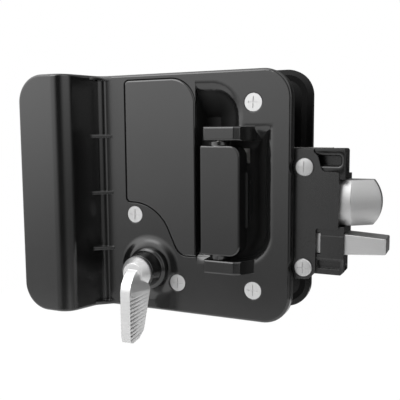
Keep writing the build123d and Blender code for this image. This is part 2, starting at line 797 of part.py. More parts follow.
with BuildPart() as thumb_turn:
    with BuildSketch(Plane.XY.offset(turn_level)):
        with BuildLine():
            Polyline((turn_x, grip_back), (turn_x + turn_back_radius, grip_back),
                     (turn_x + turn_back_radius, grip_back - turn_collar),
                     (turn_x + turn_face_radius, cone_face), (turn_x, cone_face), close=True)
        make_face()
    revolve(axis=Axis((turn_x, 0, turn_level), (0, 1, 0)))
    brow = [grip_section(turn_level + grip_brow - share * (grip_brow + grip_shoulder), grip_half_width - 0.6,
                         grip_back - 1.0, half_blade, cone_face - bulge * (cone_face - grip_front))
            for share, bulge in ((0.0, 0.0), (0.23, 0.46), (0.62, 0.85))]
    loft([*brow,
          grip_section(turn_level - grip_shoulder, grip_half_width, grip_back, half_blade, grip_front),
          grip_section(turn_level - grip_foot, grip_foot_half_width, grip_back - 0.6, half_blade, grip_front),
          grip_section(turn_level - blade_length - 1.0, half_blade, grip_back - 3.0, half_blade - 0.2,
                       grip_front + 0.6)], ruled=True)
    with BuildSketch(Plane.YZ.offset(turn_x)) as foot:
        with BuildLine():
            tip = turn_level - blade_length
            Polyline((grip_front - 1, tip + 1.2), (grip_front + 2.2, tip), (grip_back - 4.0, tip + 0.8),
                     (grip_back + 1, tip + 5.2), (grip_back + 1, tip - 3), (grip_front - 1, tip - 3), close=True)
        make_face()
    extrude(foot.sketch, amount=turn_back_radius, both=True, mode=Mode.SUBTRACT)
    for side in (-1, 1):
        for i in range(groove_count):
            level = turn_level - grip_shoulder - 2.4 - i * groove_pitch
            share = (turn_level - grip_shoulder - level) / (grip_foot - grip_shoulder)
            half = grip_half_width + (grip_foot_half_width - grip_half_width) * share
            start = Vector(turn_x + side * (half_blade + groove_sink), grip_front, level - groove_rise / 2)
            end = Vector(turn_x + side * (half + groove_fade), grip_back, level + groove_rise / 2)
            with BuildSketch(Plane(origin=start, z_dir=end - start)) as groove:
                Circle(groove_radius)
            extrude(groove.sketch, amount=(end - start).length, mode=Mode.SUBTRACT)
    cross_bar(spindle_nose, turn_x, turn_level, spindle_front, grip_back + 1, Mode.SUBTRACT)
save(thumb_turn, "thumb_turn")


with BuildPart() as turn_spindle:
    turned(turn_x, turn_level, [(0, spindle_front), (spindle_nose, spindle_front), (spindle_nose, grip_back),
                                (spindle_radius, grip_back), (spindle_radius, spindle_tail),
                                (0, spindle_tail)])
    turned(turn_x, turn_level, [(spindle_radius - clip_groove, washer_back), (spindle_radius + 1, washer_back),
                                (spindle_radius + 1, washer_back + clip_thickness),
                                (spindle_radius - clip_groove, washer_back + clip_thickness)], Mode.SUBTRACT)
    block((turn_x - spindle_radius, turn_x + spindle_radius), (driver_front - slide_gap, spindle_tail + 1),
          (turn_level - driver_thickness / 2 - slide_gap, turn_level + driver_thickness / 2 + slide_gap),
          Mode.SUBTRACT)
save(turn_spindle, "turn_spindle")

with BuildPart() as spindle_washer:
    turned(turn_x, turn_level, [(spindle_radius + part_gap, chassis_back), (washer_radius, chassis_back),
                                (washer_radius, washer_back - run_fit),
                                (spindle_radius + part_gap, washer_back - run_fit)])
save(spindle_washer, "spindle_washer")


def groove_clip(x, level, y_start, shaft_radius, outer_radius, opening):
    """Spring clip in a groove: a ring with a gap on one side."""
    turned(x, level, [(shaft_radius - clip_groove, y_start), (outer_radius, y_start),
                      (outer_radius, y_start + clip_thickness),
                      (shaft_radius - clip_groove, y_start + clip_thickness)])
    block((x - opening, x + opening), (y_start - 1, y_start + clip_thickness + 1),
          (level - outer_radius - 1, level), Mode.SUBTRACT)


with BuildPart() as spindle_clip:
    groove_clip(turn_x, turn_level, washer_back, spindle_radius, washer_radius, spindle_radius - clip_groove)
save(spindle_clip, "spindle_clip")

with BuildPart() as turn_crank:
    with BuildSketch(across(crank_depth)) as face:
        with Locations((turn_x, turn_level)):
            Circle(crank_hub)
        with Locations((crank_pin_x, crank_pin_level)):
            Circle(crank_end)
        with Locations(((turn_x + crank_pin_x) / 2, (turn_level + crank_pin_level) / 2)):
            Rectangle(crank_radius, 2 * crank_end, rotation=turn_range / 2)
        with Locations((turn_x, turn_level)):
            Circle(spindle_radius, mode=Mode.SUBTRACT)
        with Locations((crank_pin_x, crank_pin_level)):
            Circle(crank_pin_radius, mode=Mode.SUBTRACT)
    extrude(face.sketch, amount=-strip_thickness)
save(turn_crank, "turn_crank")

with BuildPart() as crank_pin:
    cross_bar(crank_pin_radius, crank_pin_x, crank_pin_level, crank_depth, link_back + part_gap)
save(crank_pin, "crank_pin")


# Latch case: channels for the slam bolt and the deadbolt, corner pocket, guide block and lug

with BuildPart() as latch_case:
    block((case_left, case_end), (case_front, case_back), (guide_foot, mid_level + bolt_channel + case_wall))
    flange_back = case_front + case_flange_depth
    plate_between([(case_left, mid_level + bolt_channel, 0.0), (case_end, mid_level + bolt_channel, 0.0),
                   (case_end, case_top, 1.0), (case_left, case_top, 0.0)], case_front, flange_back)
    plate_between([(case_left, guide_foot, 0.0), (lug_left, guide_foot, 0.0),
                   (lug_left, case_bottom, case_foot_round), (case_left, case_bottom, 0.0)],
                  case_front, flange_back)
    plate_between([(lug_left - 1, guide_foot, 0.0), (case_end, guide_foot, 0.0),
                   (case_end, lug_foot + lug_chamfer, 0.0), (case_end - lug_chamfer, lug_foot, 0.0),
                   (lug_left - 1, lug_foot, 0.0)], lug_front, lug_back)
    plate_between([(lug_left, lug_top, 1.0), (case_end - lug_wall, lug_top, 0.6),
                   (case_end - lug_wall, lug_lip, 0.6), (lug_left, lug_lip, 1.5)],
                  lug_front - 1, lug_groove_floor, Mode.SUBTRACT)
    block((guide_left, case_end), (guide_front, case_front), (guide_foot, guide_top))
    block((lip_left, case_end), (cover_front, case_front), (lip_level, case_top))
    for level in (cover_screw_top, cover_screw_bottom):
        cross_bar(cover_post_radius, cover_screw_x, level, case_front, case_back)
    block((case_inner_left, case_end + 1), (case_front - 1, bolt_back + slide_gap),
          (mid_level - bolt_channel, mid_level + bolt_channel), Mode.SUBTRACT)
    block((case_left - 1, case_end + 1), (dead_front - slide_gap, dead_back + slide_gap),
          (dead_foot - slide_gap, dead_top + slide_gap), Mode.SUBTRACT)
    block((case_left - 1, guide_left), (case_front - 1, dead_front),
          (dead_foot - slide_gap, dead_top + slide_gap), Mode.SUBTRACT)
    block((case_left - 1, case_inner_left + 1), (bar_depth - slide_gap, bar_back + slide_gap),
          (bar_foot - slide_gap, bar_top + slide_gap), Mode.SUBTRACT)
    (pocket_left, pocket_right), (pocket_foot, pocket_top) = corner_pocket
    plate_between([(pocket_left, pocket_foot, corner_pocket_round),
                   (pocket_right, pocket_foot, corner_pocket_round),
                   (pocket_right, pocket_top, corner_pocket_round),
                   (pocket_left, pocket_top, corner_pocket_round)],
                  case_front - 1, case_front + corner_pocket_depth, Mode.SUBTRACT)
    ledge = [e for e in latch_case.edges().filter_by(Axis.X)
             if abs((e @ 0.5).Y - case_front) < 0.01 and abs((e @ 0.5).Z - pocket_top) < 0.01]
    fillet(ledge, corner_ledge_round)
    block((case_left - 1, case_step_x), (case_front - 1, case_step_depth), (case_bottom - 1, case_top + 1),
          Mode.SUBTRACT)
    for z_span in (((mid_level + bolt_channel + case_wall, case_top - case_wall)),
                   (case_bottom + case_wall, guide_foot - case_wall)):
        block((case_inner_left, cover_screw_x - cover_post_radius), (case_step_depth + case_wall, case_back),
              z_span, Mode.SUBTRACT)
    long_bar(spring_stub, bolt_bore_y, mid_level, case_inner_left - 1, case_inner_left + 2)
    for level in (cover_screw_top, cover_screw_bottom):
        cross_bar(cover_screw_radius + run_fit, cover_screw_x, level, case_front - 1, case_back + 1,
                  Mode.SUBTRACT)
    long_bar(lug_hole_radius, lug_hole_y, lug_hole_level, case_end - lug_hole_length, case_end + 1,
             Mode.SUBTRACT)
save(latch_case, "latch_case")

with BuildPart() as latch_cover:
    plate_between([(cover_left, cover_top, 1.0), *cover_shoulder, (cover_end, cover_step, 0.6),
                   (cover_end, cover_foot, 0.8), (cover_ledge, cover_foot, 0.8),
                   (cover_ledge, case_bottom, case_foot_round), (cover_left, case_bottom, 1.0)],
                  cover_front, case_front)
    for level in (cover_screw_top, cover_screw_bottom):
        cross_bar(cover_screw_radius + run_fit, cover_screw_x, level, cover_front - 1, case_front + 1,
                  Mode.SUBTRACT)
save(latch_cover, "latch_cover")

with BuildPart() as cover_screws:
    for level in (cover_screw_top, cover_screw_bottom):
        pan_screw(cover_screw_x, level, cover_front, chassis_back, cover_screw_head, cover_head_height,
                  cover_screw_radius)
save(cover_screws, "cover_screws")


# Slam bolt: convex front, a ramp that keeps the convexity, and a rounded tip

def bolt_section(x):
    """Cross-section of the slam bolt at x: an arc in front and a flat back."""
    with BuildSketch(Plane.YZ.offset(x)) as face:
        with BuildLine():
            sag = bolt_crown - sqrt(bolt_crown ** 2 - (bolt_height / 2) ** 2)
            low, high = (bolt_front + sag, bolt_foot), (bolt_front + sag, bolt_top)
            ThreePointArc(low, (bolt_front, mid_level), high)
            Polyline(high, (bolt_back, bolt_top), (bolt_back, bolt_foot), low)
        make_face()
    return face.sketch.faces()[0]


with BuildPart() as slam_bolt:
    extrude(bolt_section(bolt_tail), amount=bolt_shoulder - bolt_tail)
    run, rise = bolt_tip - bolt_shoulder, bolt_depth - bolt_tip_thickness
    extrude(bolt_section(bolt_shoulder), amount=hypot(run, rise), dir=(run, rise, 0))
    with BuildSketch(across(bolt_front - 1)) as outline:
        with BuildLine():
            tip_center = bolt_tip - bolt_tip_radius
            corner_x = tip_center + sqrt(bolt_tip_radius ** 2 - (bolt_height / 2) ** 2)
            ThreePointArc((corner_x, bolt_foot), (bolt_tip, mid_level), (corner_x, bolt_top))
            Polyline((corner_x, bolt_top), (bolt_tail, bolt_top), (bolt_tail, bolt_foot),
                     (corner_x, bolt_foot))
        make_face()
    extrude(outline.sketch, amount=-(bolt_depth + 1), mode=Mode.INTERSECT)
    long_bar(bolt_bore_radius, bolt_bore_y, mid_level, bolt_tail - 1, bolt_bore_end, Mode.SUBTRACT)
    block((bolt_tail - 1, bar_end + slide_gap), (bar_depth - run_fit, bar_back + run_fit),
          (bar_foot - slide_gap, bar_top + slide_gap), Mode.SUBTRACT)
    cross_bar(join_pin_radius, bar_pin_x, bar_level, bar_depth - bar_pin_seat, bolt_back + 1, Mode.SUBTRACT)
save(slam_bolt, "slam_bolt")

with BuildPart() as bolt_pin:
    cross_bar(join_pin_radius, bar_pin_x, bar_level, bar_depth - bar_pin_seat, bolt_back)
save(bolt_pin, "bolt_pin")

with BuildPart() as draw_bar:
    block((bar_left, bar_end), (bar_depth, bar_back), (bar_foot, bar_top))
    block((bar_left, bar_left + strip_thickness), (bar_depth, bar_back + bar_lug), (bar_foot, bar_top))
    with BuildSketch(across(bar_depth)) as slot:
        with Locations((stud_x, bar_level)):
            SlotOverall(bar_height - 2 * bar_slot_wall, 2 * (bar_stud_radius + slot_slack), rotation=90)
    extrude(slot.sketch, amount=-strip_thickness, mode=Mode.SUBTRACT)
    cross_bar(join_pin_radius, bar_pin_x, bar_level, bar_depth - 1, bar_back + 1, Mode.SUBTRACT)
save(draw_bar, "draw_bar")

with BuildPart() as latch_spring:
    coil((case_inner_left, bolt_bore_y, mid_level), (1, 0, 0), bolt_bore_end - case_inner_left,
         spring_turns, spring_radius, spring_wire)
save(latch_spring, "latch_spring")


# Release lever between the paddle's finger and the draw bar

with BuildPart() as lever_post:
    turned(lever_x, lever_level, [(0, clip_front - 1), (lever_post_radius, clip_front - 1),
                                  (lever_post_radius, lever_back + part_gap),
                                  (lever_shoulder, lever_back + part_gap), (lever_shoulder, chassis_depth),
                                  (lever_post_radius, chassis_depth), (lever_post_radius, chassis_back),
                                  (0, chassis_back)])
    turned(lever_x, lever_level, [(lever_post_radius - clip_groove, clip_front), (lever_shoulder, clip_front),
                                  (lever_shoulder, clip_front + clip_thickness),
                                  (lever_post_radius - clip_groove, clip_front + clip_thickness)],
           Mode.SUBTRACT)
save(lever_post, "lever_post")

with BuildPart() as lever_clip:
    groove_clip(lever_x, lever_level, clip_front, lever_post_radius, lever_clip_radius,
                lever_post_radius - clip_groove)
save(lever_clip, "lever_clip")

with BuildPart() as release_lever:
    with BuildSketch() as shape:
        Circle(lever_hub)
        with Locations((0, (lever_fork + lever_slot_foot) / 2)):
            Rectangle(lever_slot + 2 * strip_thickness, lever_fork - lever_slot_foot)
        with Locations((0, lever_slot_foot / 2)):
            Rectangle(lever_slot + 2 * strip_thickness, lever_slot_foot)
        with Locations((0, (lever_fork + lever_slot_foot) / 2)):
            Rectangle(lever_slot, lever_fork - lever_slot_foot, mode=Mode.SUBTRACT)
        with Locations((0, -lever_reach / 2)):
            Rectangle(lever_arm_width, lever_reach)
        with Locations((0, -lever_reach)):
            Circle(lever_end_radius)
            Circle(lever_stud_rivet, mode=Mode.SUBTRACT)
        Circle(lever_post_radius + run_fit, mode=Mode.SUBTRACT)
    with BuildSketch(across(lever_depth)) as face:
        with Locations((lever_x, lever_level)):
            add(shape.sketch, rotation=lever_rest)
    extrude(face.sketch, amount=-strip_thickness)
save(release_lever, "release_lever")

with BuildPart() as lever_stud:
    turned(stud_x, stud_level, [(0, lever_depth), (lever_stud_rivet, lever_depth),
                                (lever_stud_rivet, lever_back), (bar_stud_radius, lever_back),
                                (bar_stud_radius, bar_back + part_gap), (0, bar_back + part_gap)])
save(lever_stud, "lever_stud")


# Deadbolt and the link that the crank draws

with BuildPart() as deadbolt:
    plate_between([(dead_tail, dead_top, 0.5), (case_end, dead_top, 0.0),
                   (dead_tip, dead_top - dead_taper, 0.6), (dead_tip, dead_foot + dead_taper, 0.6),
                   (case_end, dead_foot, 0.0), (dead_tail, dead_foot, 0.5)], dead_front, dead_back)
    block((dead_tail - 1, link_end + slide_gap), (link_depth - run_fit, link_back + run_fit),
          (dead_foot - 1, dead_top + 1), Mode.SUBTRACT)
    cross_bar(join_pin_radius, link_pin_x, link_level, dead_front + link_pin_cover, dead_back + 1,
              Mode.SUBTRACT)
save(deadbolt, "deadbolt")

with BuildPart() as link_pin:
    cross_bar(join_pin_radius, link_pin_x, link_level, dead_front + link_pin_cover, dead_back)
save(link_pin, "link_pin")

with BuildPart() as deadbolt_link:
    link_left = crank_pin_x - link_arm_width / 2
    plate_between([(link_left, link_top, 1.0), (link_end, link_top, 0.5), (link_end, link_foot, 0.5),
                   (link_left + link_arm_width, link_foot, 2.0),
                   (link_left + link_arm_width, link_arm_foot, 1.0), (link_left, link_arm_foot, 1.0)],
                  link_depth, link_back)
    with BuildSketch(across(link_depth)) as slot:
        with Locations((crank_pin_x, (link_top + link_arm_foot) / 2)):
            SlotOverall(link_top - link_arm_foot - link_arm_width / 3,
                        2 * (crank_pin_radius + slot_slack), rotation=90)
    extrude(slot.sketch, amount=-strip_thickness, mode=Mode.SUBTRACT)
    cross_bar(join_pin_radius, link_pin_x, link_level, link_depth - 1, link_back + 1, Mode.SUBTRACT)
save(deadbolt_link, "deadbolt_link")


# Chassis plate between the two halves of the lock

with BuildPart() as chassis_plate:
    window = (pivot_handle_left, pivot_handle_right)
    with BuildSketch(across(chassis_depth)) as face:
        left, right = cutout_left + chassis_gap, -cutout_edge - chassis_gap
        with Locations(((left + right) / 2, 0)):
            RectangleRounded(right - left, cutout_height - 2 * chassis_gap, chassis_corner)
        with Locations(((right - 1 + chassis_tab_end) / 2, (case_top + case_bottom) / 2)):
            Rectangle(chassis_tab_end - right + 1, case_top - case_bottom)
        with Locations(*screws):
            Circle(screw_pilot, mode=Mode.SUBTRACT)
        with Locations(*chassis_screws_at):
            Circle(chassis_screw_radius + run_fit, mode=Mode.SUBTRACT)
        with Locations((cover_screw_x, cover_screw_top), (cover_screw_x, cover_screw_bottom)):
            Circle(cover_screw_radius + run_fit, mode=Mode.SUBTRACT)
        with Locations((lever_x, lever_level)):
            Circle(lever_post_radius, mode=Mode.SUBTRACT)
        with Locations((turn_x, turn_level)):
            Circle(spindle_radius + run_fit, mode=Mode.SUBTRACT)
        with Locations((sum(window) / 2, (pocket_levels[0] + window_top) / 2)):
            Rectangle(window[1] - window[0], window_top - pocket_levels[0] + 2, mode=Mode.SUBTRACT)
    extrude(face.sketch, amount=-chassis_thickness)
save(chassis_plate, "chassis_plate")

with BuildPart() as chassis_screws:
    for x, level in chassis_screws_at:
        pan_screw(x, level, chassis_depth, chassis_back + chassis_screw_reach, chassis_screw_head,
                  chassis_screw_head_height, chassis_screw_radius)
save(chassis_screws, "chassis_screws")

with BuildPart() as escutcheon_screws:
    for x, level in screws:
        flat_screw(x, level, plate_front, screw_tip)
save(escutcheon_screws, "escutcheon_screws")


# Outside bezel with the handle's pocket, posts and bosses

def bezel_layer(inset, corner, y_start, y_end, mode=Mode.ADD, taper=0.0):
    """Extrude the bezel's outline, drawn in by inset, between two depths."""
    with BuildSketch(across(y_start)) as face:
        with Locations((bezel_mid, 0)):
            RectangleRounded(bezel_width - 2 * inset, bezel_height - 2 * inset, corner)
    extrude(face.sketch, amount=y_start - y_end, mode=mode, taper=taper)


with BuildPart() as outside_bezel:
    bezel_layer(0.0, bezel_corner, door_face, door_face + bezel_flange)
    bezel_layer(bezel_rim, bezel_corner - 2, door_face + bezel_flange, bezel_face)
    fillet(outside_bezel.faces().sort_by(Axis.Y)[-1].edges(), bezel_round)
    bezel_layer(bezel_rim + bezel_wall, bezel_corner - 4, door_face, bezel_face - bezel_wall, Mode.SUBTRACT)
    bezel_layer(gasket_inset, bezel_corner - gasket_inset, door_face, door_face + gasket_thickness,
                Mode.SUBTRACT)
    bezel_layer(gasket_inset + gasket_width, bezel_corner - gasket_inset - gasket_width, door_face,
                door_face + gasket_thickness)
    bezel_layer(bezel_rim + bezel_wall, bezel_corner - 4, door_face, bezel_face - bezel_wall, Mode.SUBTRACT)
    block((pocket_span[0] - pocket_wall, pocket_span[1] + pocket_wall),
          (pocket_floor - pocket_wall, bezel_face - bezel_wall),
          (pocket_levels[0] - pocket_wall, pocket_levels[1] + pocket_wall))
    block(pocket_span, (pocket_floor, bezel_face + 1), pocket_levels, Mode.SUBTRACT)
    block((pivot_handle_left, pivot_handle_right), (pocket_floor - pocket_wall - 1, pocket_floor + 1),
          (pocket_levels[0], window_top), Mode.SUBTRACT)
    for x, level in screws:
        cross_bar(post_radius, x, level, chassis_back, bezel_face - bezel_wall)
        cross_bar(screw_radius + run_fit, x, level, chassis_back - 1, screw_tip + 1, Mode.SUBTRACT)
    for x, level in chassis_screws_at:
        cross_bar(chassis_boss_radius, x, level, chassis_back, bezel_face - bezel_wall)
        cross_bar(chassis_screw_radius + run_fit, x, level, chassis_back - 1,
                  chassis_back + chassis_screw_reach + 1, Mode.SUBTRACT)
    for x, level in ((turn_x, turn_level), (lock_x, lock_level)):
        cross_bar(cylinder_radius + run_fit, x, level, door_face, bezel_face + 1, Mode.SUBTRACT)
    upright_bar(handle_pin_radius, handle_pivot_x, handle_pivot_y, pocket_levels[0] - pocket_wall - 1,
                pocket_levels[1] + pocket_wall + 1, Mode.SUBTRACT)
save(outside_bezel, "outside_bezel")

with BuildPart() as bezel_gasket:
    bezel_layer(gasket_inset, bezel_corner - gasket_inset, door_face, door_face + gasket_thickness)
    bezel_layer(gasket_inset + gasket_width, bezel_corner - gasket_inset - gasket_width, door_face,
                door_face + gasket_thickness, Mode.SUBTRACT)
save(bezel_gasket, "bezel_gasket")


# Outside pull handle on its pin, with the finger that reaches the draw bar

with BuildPart() as outside_handle:
    plate_between([(handle_left, handle_top, handle_corner), (handle_pivot_x, handle_top, 0.0),
                   (handle_pivot_x, handle_bottom, 0.0), (handle_left, handle_bottom, handle_corner)],
                  handle_face - handle_thickness, handle_face)
    fillet(outside_handle.faces().sort_by(Axis.Y)[-1].edges(), handle_round)
    block((handle_pivot_x - handle_knuckle, handle_pivot_x + handle_knuckle / 2),
          (handle_pivot_y, handle_face - handle_round), (handle_bottom, handle_spring_foot))
    upright_bar(handle_knuckle, handle_pivot_x, handle_pivot_y, pocket_levels[0] + part_gap,
                pocket_levels[1] - part_gap)
    block((handle_pivot_x - handle_finger_width / 2, handle_pivot_x + handle_finger_width / 2),
          (handle_finger_tip, handle_pivot_y), (pocket_levels[0] + part_gap, handle_finger_top))
    upright_bar(handle_knuckle + 1, handle_pivot_x, handle_pivot_y, handle_spring_foot, handle_spring_top,
                Mode.SUBTRACT)
    upright_bar(handle_pin_radius + run_fit, handle_pivot_x, handle_pivot_y, pocket_levels[0],
                pocket_levels[1], Mode.SUBTRACT)
save(outside_handle, "outside_handle")

with BuildPart() as handle_pin:
    upright_bar(handle_pin_radius, handle_pivot_x, handle_pivot_y, pocket_levels[0] - pocket_wall,
                pocket_levels[1] + pocket_wall)
save(handle_pin, "handle_pin")

with BuildPart() as handle_spring:
    coil((handle_pivot_x, handle_pivot_y, handle_spring_foot + part_gap), (0, 0, 1),
         handle_spring_top - handle_spring_foot - 2 * part_gap, 5, handle_spring_radius, spring_wire)
save(handle_spring, "handle_spring")


# Key cylinders in the outside bezel

def cylinder_body(x, level):
    """Cylinder with its flange, a bore for the plug and a groove for the clip."""
    turned(x, level, [(plug_radius + run_fit, cylinder_back), (cylinder_radius, cylinder_back),
                      (cylinder_radius, clip_seat), (cylinder_radius - clip_groove, clip_seat),
                      (cylinder_radius - clip_groove, clip_seat + clip_thickness),
                      (cylinder_radius, clip_seat + clip_thickness), (cylinder_radius, bezel_face),
                      (cylinder_flange_radius, bezel_face),
                      (cylinder_flange_radius - 0.5, bezel_face + cylinder_flange),
                      (plug_radius + run_fit, bezel_face + cylinder_flange)])


def plug_body(x, level):
    """Plug with a key slot in its face."""
    turned(x, level, [(0, cylinder_back), (plug_radius, cylinder_back),
                      (plug_radius, bezel_face + cylinder_flange - 0.2),
                      (0, bezel_face + cylinder_flange - 0.2)])
    block((x - key_slot[0] / 2, x + key_slot[0] / 2), (cylinder_back + 4, bezel_face + cylinder_flange),
          (level - key_slot[1] / 2, level + key_slot[1] / 2), Mode.SUBTRACT)


with BuildPart() as deadbolt_cylinder:
    cylinder_body(turn_x, turn_level)
save(deadbolt_cylinder, "deadbolt_cylinder")

with BuildPart() as latch_cylinder:
    cylinder_body(lock_x, lock_level)
save(latch_cylinder, "latch_cylinder")

with BuildPart() as cylinder_clips:
    for x, level in ((turn_x, turn_level), (lock_x, lock_level)):
        groove_clip(x, level, clip_seat, cylinder_radius, cylinder_clip_radius, cylinder_radius - clip_groove)
save(cylinder_clips, "cylinder_clips")

with BuildPart() as deadbolt_plug:
    plug_body(turn_x, turn_level)
    block((turn_x - driver_width / 2, turn_x + driver_width / 2), (cylinder_back - 1, cylinder_back + 3),
          (turn_level - driver_thickness / 2, turn_level + driver_thickness / 2), Mode.SUBTRACT)
save(deadbolt_plug, "deadbolt_plug")

with BuildPart() as plug_driver:
    block((turn_x - driver_width / 2, turn_x + driver_width / 2), (driver_front, cylinder_back + 3),
          (turn_level - driver_thickness / 2, turn_level + driver_thickness / 2))
save(plug_driver, "plug_driver")

with BuildPart() as latch_plug:
    plug_body(lock_x, lock_level)
    cross_bar(plug_tail_radius, lock_x, lock_level, nut_front, cylinder_back)
save(latch_plug, "latch_plug")

with BuildPart() as latch_cam:
    with BuildSketch(across(cam_front)) as face:
        with Locations((lock_x, lock_level)):
            Circle(nut_radius + 1)
        with Locations((lock_x - cam_length / 2, lock_level)):
            Rectangle(cam_length, cam_width)
        with Locations((lock_x, lock_level)):
            Circle(plug_tail_radius, mode=Mode.SUBTRACT)
    extrude(face.sketch, amount=-cam_thickness)
save(latch_cam, "latch_cam")

with BuildPart() as cam_nut:
    with BuildSketch(across(nut_front)) as face:
        with Locations((lock_x, lock_level)):
            RegularPolygon(nut_radius, 6)
            Circle(plug_tail_radius, mode=Mode.SUBTRACT)
    extrude(face.sketch, amount=nut_front - cam_front)
save(cam_nut, "cam_nut")
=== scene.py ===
# %% [markdown]
# # A recreational vehicle door lock
#
# This lock has a black inside plate with a pull wing, a paddle between two ears, a palm pad and a
# thumb-turn. Beside it stands the latch case with a slam bolt and a deadbolt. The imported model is
# the frame: every piece stays where the CAD puts it, in metres. This script gives the pieces
# smooth shading and rounded edges, remakes the screws and springs with Geometry Nodes, paints
# everything with procedural materials and sets up a small studio.

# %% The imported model
import json
import math

import bmesh
import bpy
from mathutils import Matrix, Vector
from mathutils.bvhtree import BVHTree

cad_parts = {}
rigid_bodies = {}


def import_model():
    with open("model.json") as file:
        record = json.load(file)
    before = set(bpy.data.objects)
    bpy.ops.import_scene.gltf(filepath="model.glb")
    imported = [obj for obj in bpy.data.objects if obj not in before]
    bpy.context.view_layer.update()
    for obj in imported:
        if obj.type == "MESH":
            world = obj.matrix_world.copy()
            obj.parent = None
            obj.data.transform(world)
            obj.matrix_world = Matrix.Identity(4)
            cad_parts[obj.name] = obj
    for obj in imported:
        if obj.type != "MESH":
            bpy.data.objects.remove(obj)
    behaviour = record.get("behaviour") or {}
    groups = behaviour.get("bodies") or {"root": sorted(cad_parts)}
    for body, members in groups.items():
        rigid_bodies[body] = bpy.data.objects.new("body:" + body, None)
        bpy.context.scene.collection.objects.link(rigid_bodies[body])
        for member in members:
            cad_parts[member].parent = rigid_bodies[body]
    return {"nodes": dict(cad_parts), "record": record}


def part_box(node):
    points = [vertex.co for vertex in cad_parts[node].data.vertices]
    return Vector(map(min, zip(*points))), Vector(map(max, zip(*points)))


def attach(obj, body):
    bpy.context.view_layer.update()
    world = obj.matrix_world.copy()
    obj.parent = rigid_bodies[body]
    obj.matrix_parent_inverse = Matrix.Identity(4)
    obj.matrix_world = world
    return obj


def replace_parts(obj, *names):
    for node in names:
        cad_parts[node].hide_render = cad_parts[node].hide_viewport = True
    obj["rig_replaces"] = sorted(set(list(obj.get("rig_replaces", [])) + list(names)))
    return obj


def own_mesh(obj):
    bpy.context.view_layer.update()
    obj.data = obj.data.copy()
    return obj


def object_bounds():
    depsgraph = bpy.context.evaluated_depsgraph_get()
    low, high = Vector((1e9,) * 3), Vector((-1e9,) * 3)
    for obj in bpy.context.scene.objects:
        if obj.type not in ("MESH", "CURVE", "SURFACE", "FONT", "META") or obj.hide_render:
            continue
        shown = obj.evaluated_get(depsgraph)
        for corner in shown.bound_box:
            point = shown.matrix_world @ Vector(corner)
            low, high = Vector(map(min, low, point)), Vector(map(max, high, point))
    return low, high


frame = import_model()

cad_low, cad_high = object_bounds()
MM = 0.001
print("nodes", len(frame["nodes"]), "box in mm", [round(v / MM, 1) for v in cad_high - cad_low])

# %% [markdown]
# ## Camera
#
# The lock is seen from the right and a little above. A camera could be aimed by a constraint, but
# a plate of known size fixes the whole camera: its place, its lens and the three angles that it is
# turned by. It looks 24 degrees to the left and 6 degrees down. Building its axes from these
# angles keeps them readable, where a matrix would be twelve bare numbers.

# %% Camera
EYE = Vector((144.4, -237.4, 26.5)) * MM
YAW, PITCH, ROLL = math.radians(24.12), math.radians(6.32), math.radians(-0.38)
FOCAL_PIXELS, FRAME_PIXELS, SENSOR = 600.0, 400.0, 36.0


def make_camera():
    """Camera whose axes follow from its yaw, pitch and roll."""
    right = Vector((math.cos(YAW), math.sin(YAW), 0))
    forward = Vector((-math.sin(YAW) * math.cos(PITCH), math.cos(YAW) * math.cos(PITCH), -math.sin(PITCH)))
    up = right.cross(forward)
    turned_right = right * math.cos(ROLL) + up * math.sin(ROLL)
    turned_up = up * math.cos(ROLL) - right * math.sin(ROLL)
    data = bpy.data.cameras.new("camera")
    data.sensor_width = SENSOR
    data.lens = SENSOR * FOCAL_PIXELS / FRAME_PIXELS
    data.clip_start, data.clip_end = 0.01, 20
    camera = bpy.data.objects.new("camera", data)
    axes = Matrix((turned_right, turned_up, -forward)).transposed()
    camera.matrix_world = Matrix.Translation(EYE) @ axes.to_4x4()
    bpy.context.scene.collection.objects.link(camera)
    bpy.context.scene.camera = camera
    print("camera lens", round(data.lens, 1), "mm")


make_camera()

# %% [markdown]
# ## Sums made of nodes
#
# Materials and Geometry Nodes are both trees of nodes. They could be built node by node, with a
# link on each line, but then the sum that they stand for is hard to see. `Value` wraps an output
# socket, so that `1 - noise * 0.5` adds its Math nodes by itself, and `Graph.add` adds any other
# node: its settings first, then the values or links of its sockets. The trial at the end of the
# cell counts the nodes that such a sum makes.


# %% Value and Graph
class Value:
    """An output socket on which Python arithmetic adds Math nodes."""

    def __init__(self, graph, socket):
        self.graph, self.socket = graph, socket

    def math(self, operation, *others):
        return self.graph.add("ShaderNodeMath", {"operation": operation}, dict(enumerate((self, *others))))

    def __add__(self, other):
        return self.math("ADD", other)

    def __sub__(self, other):
        return self.math("SUBTRACT", other)

    def __rsub__(self, other):
        return self.graph.add("ShaderNodeMath", {"operation": "SUBTRACT"}, {0: other, 1: self})

    def __mul__(self, other):
        return self.math("MULTIPLY", other)

    def __truediv__(self, other):
        return self.math("DIVIDE", other)

    __radd__, __rmul__ = __add__, __mul__

    def smooth(self, low, high):
        """0 below low, 1 above high, with a soft step between."""
        return self.graph.add("ShaderNodeMapRange", {"interpolation_type": "SMOOTHSTEP"},
                              {"Value": self, "From Min": low, "From Max": high})


class Graph:
    """A node tree, for a material, a world or Geometry Nodes."""

    def __init__(self, tree):
        self.tree = tree

    def link(self, source, slot):
        """Link a Value or set a plain value."""
        if isinstance(source, Value):
            self.tree.links.new(source.socket, slot)
        else:
            slot.default_value = source

    def add(self, kind, settings=None, inputs=None, output=0):
        """Add a node and return one of its outputs, or nothing where the node ends a tree."""
        node = self.tree.nodes.new(kind)
        for name, value in (settings or {}).items():
            if name == "choices":
                while len(node.index_switch_items) < value:
                    node.index_switch_items.new()
            else:
                setattr(node, name, value)
        for key, value in (inputs or {}).items():
            self.link(value, node.inputs[key])
        return Value(self, node.outputs[output]) if len(node.outputs) else None


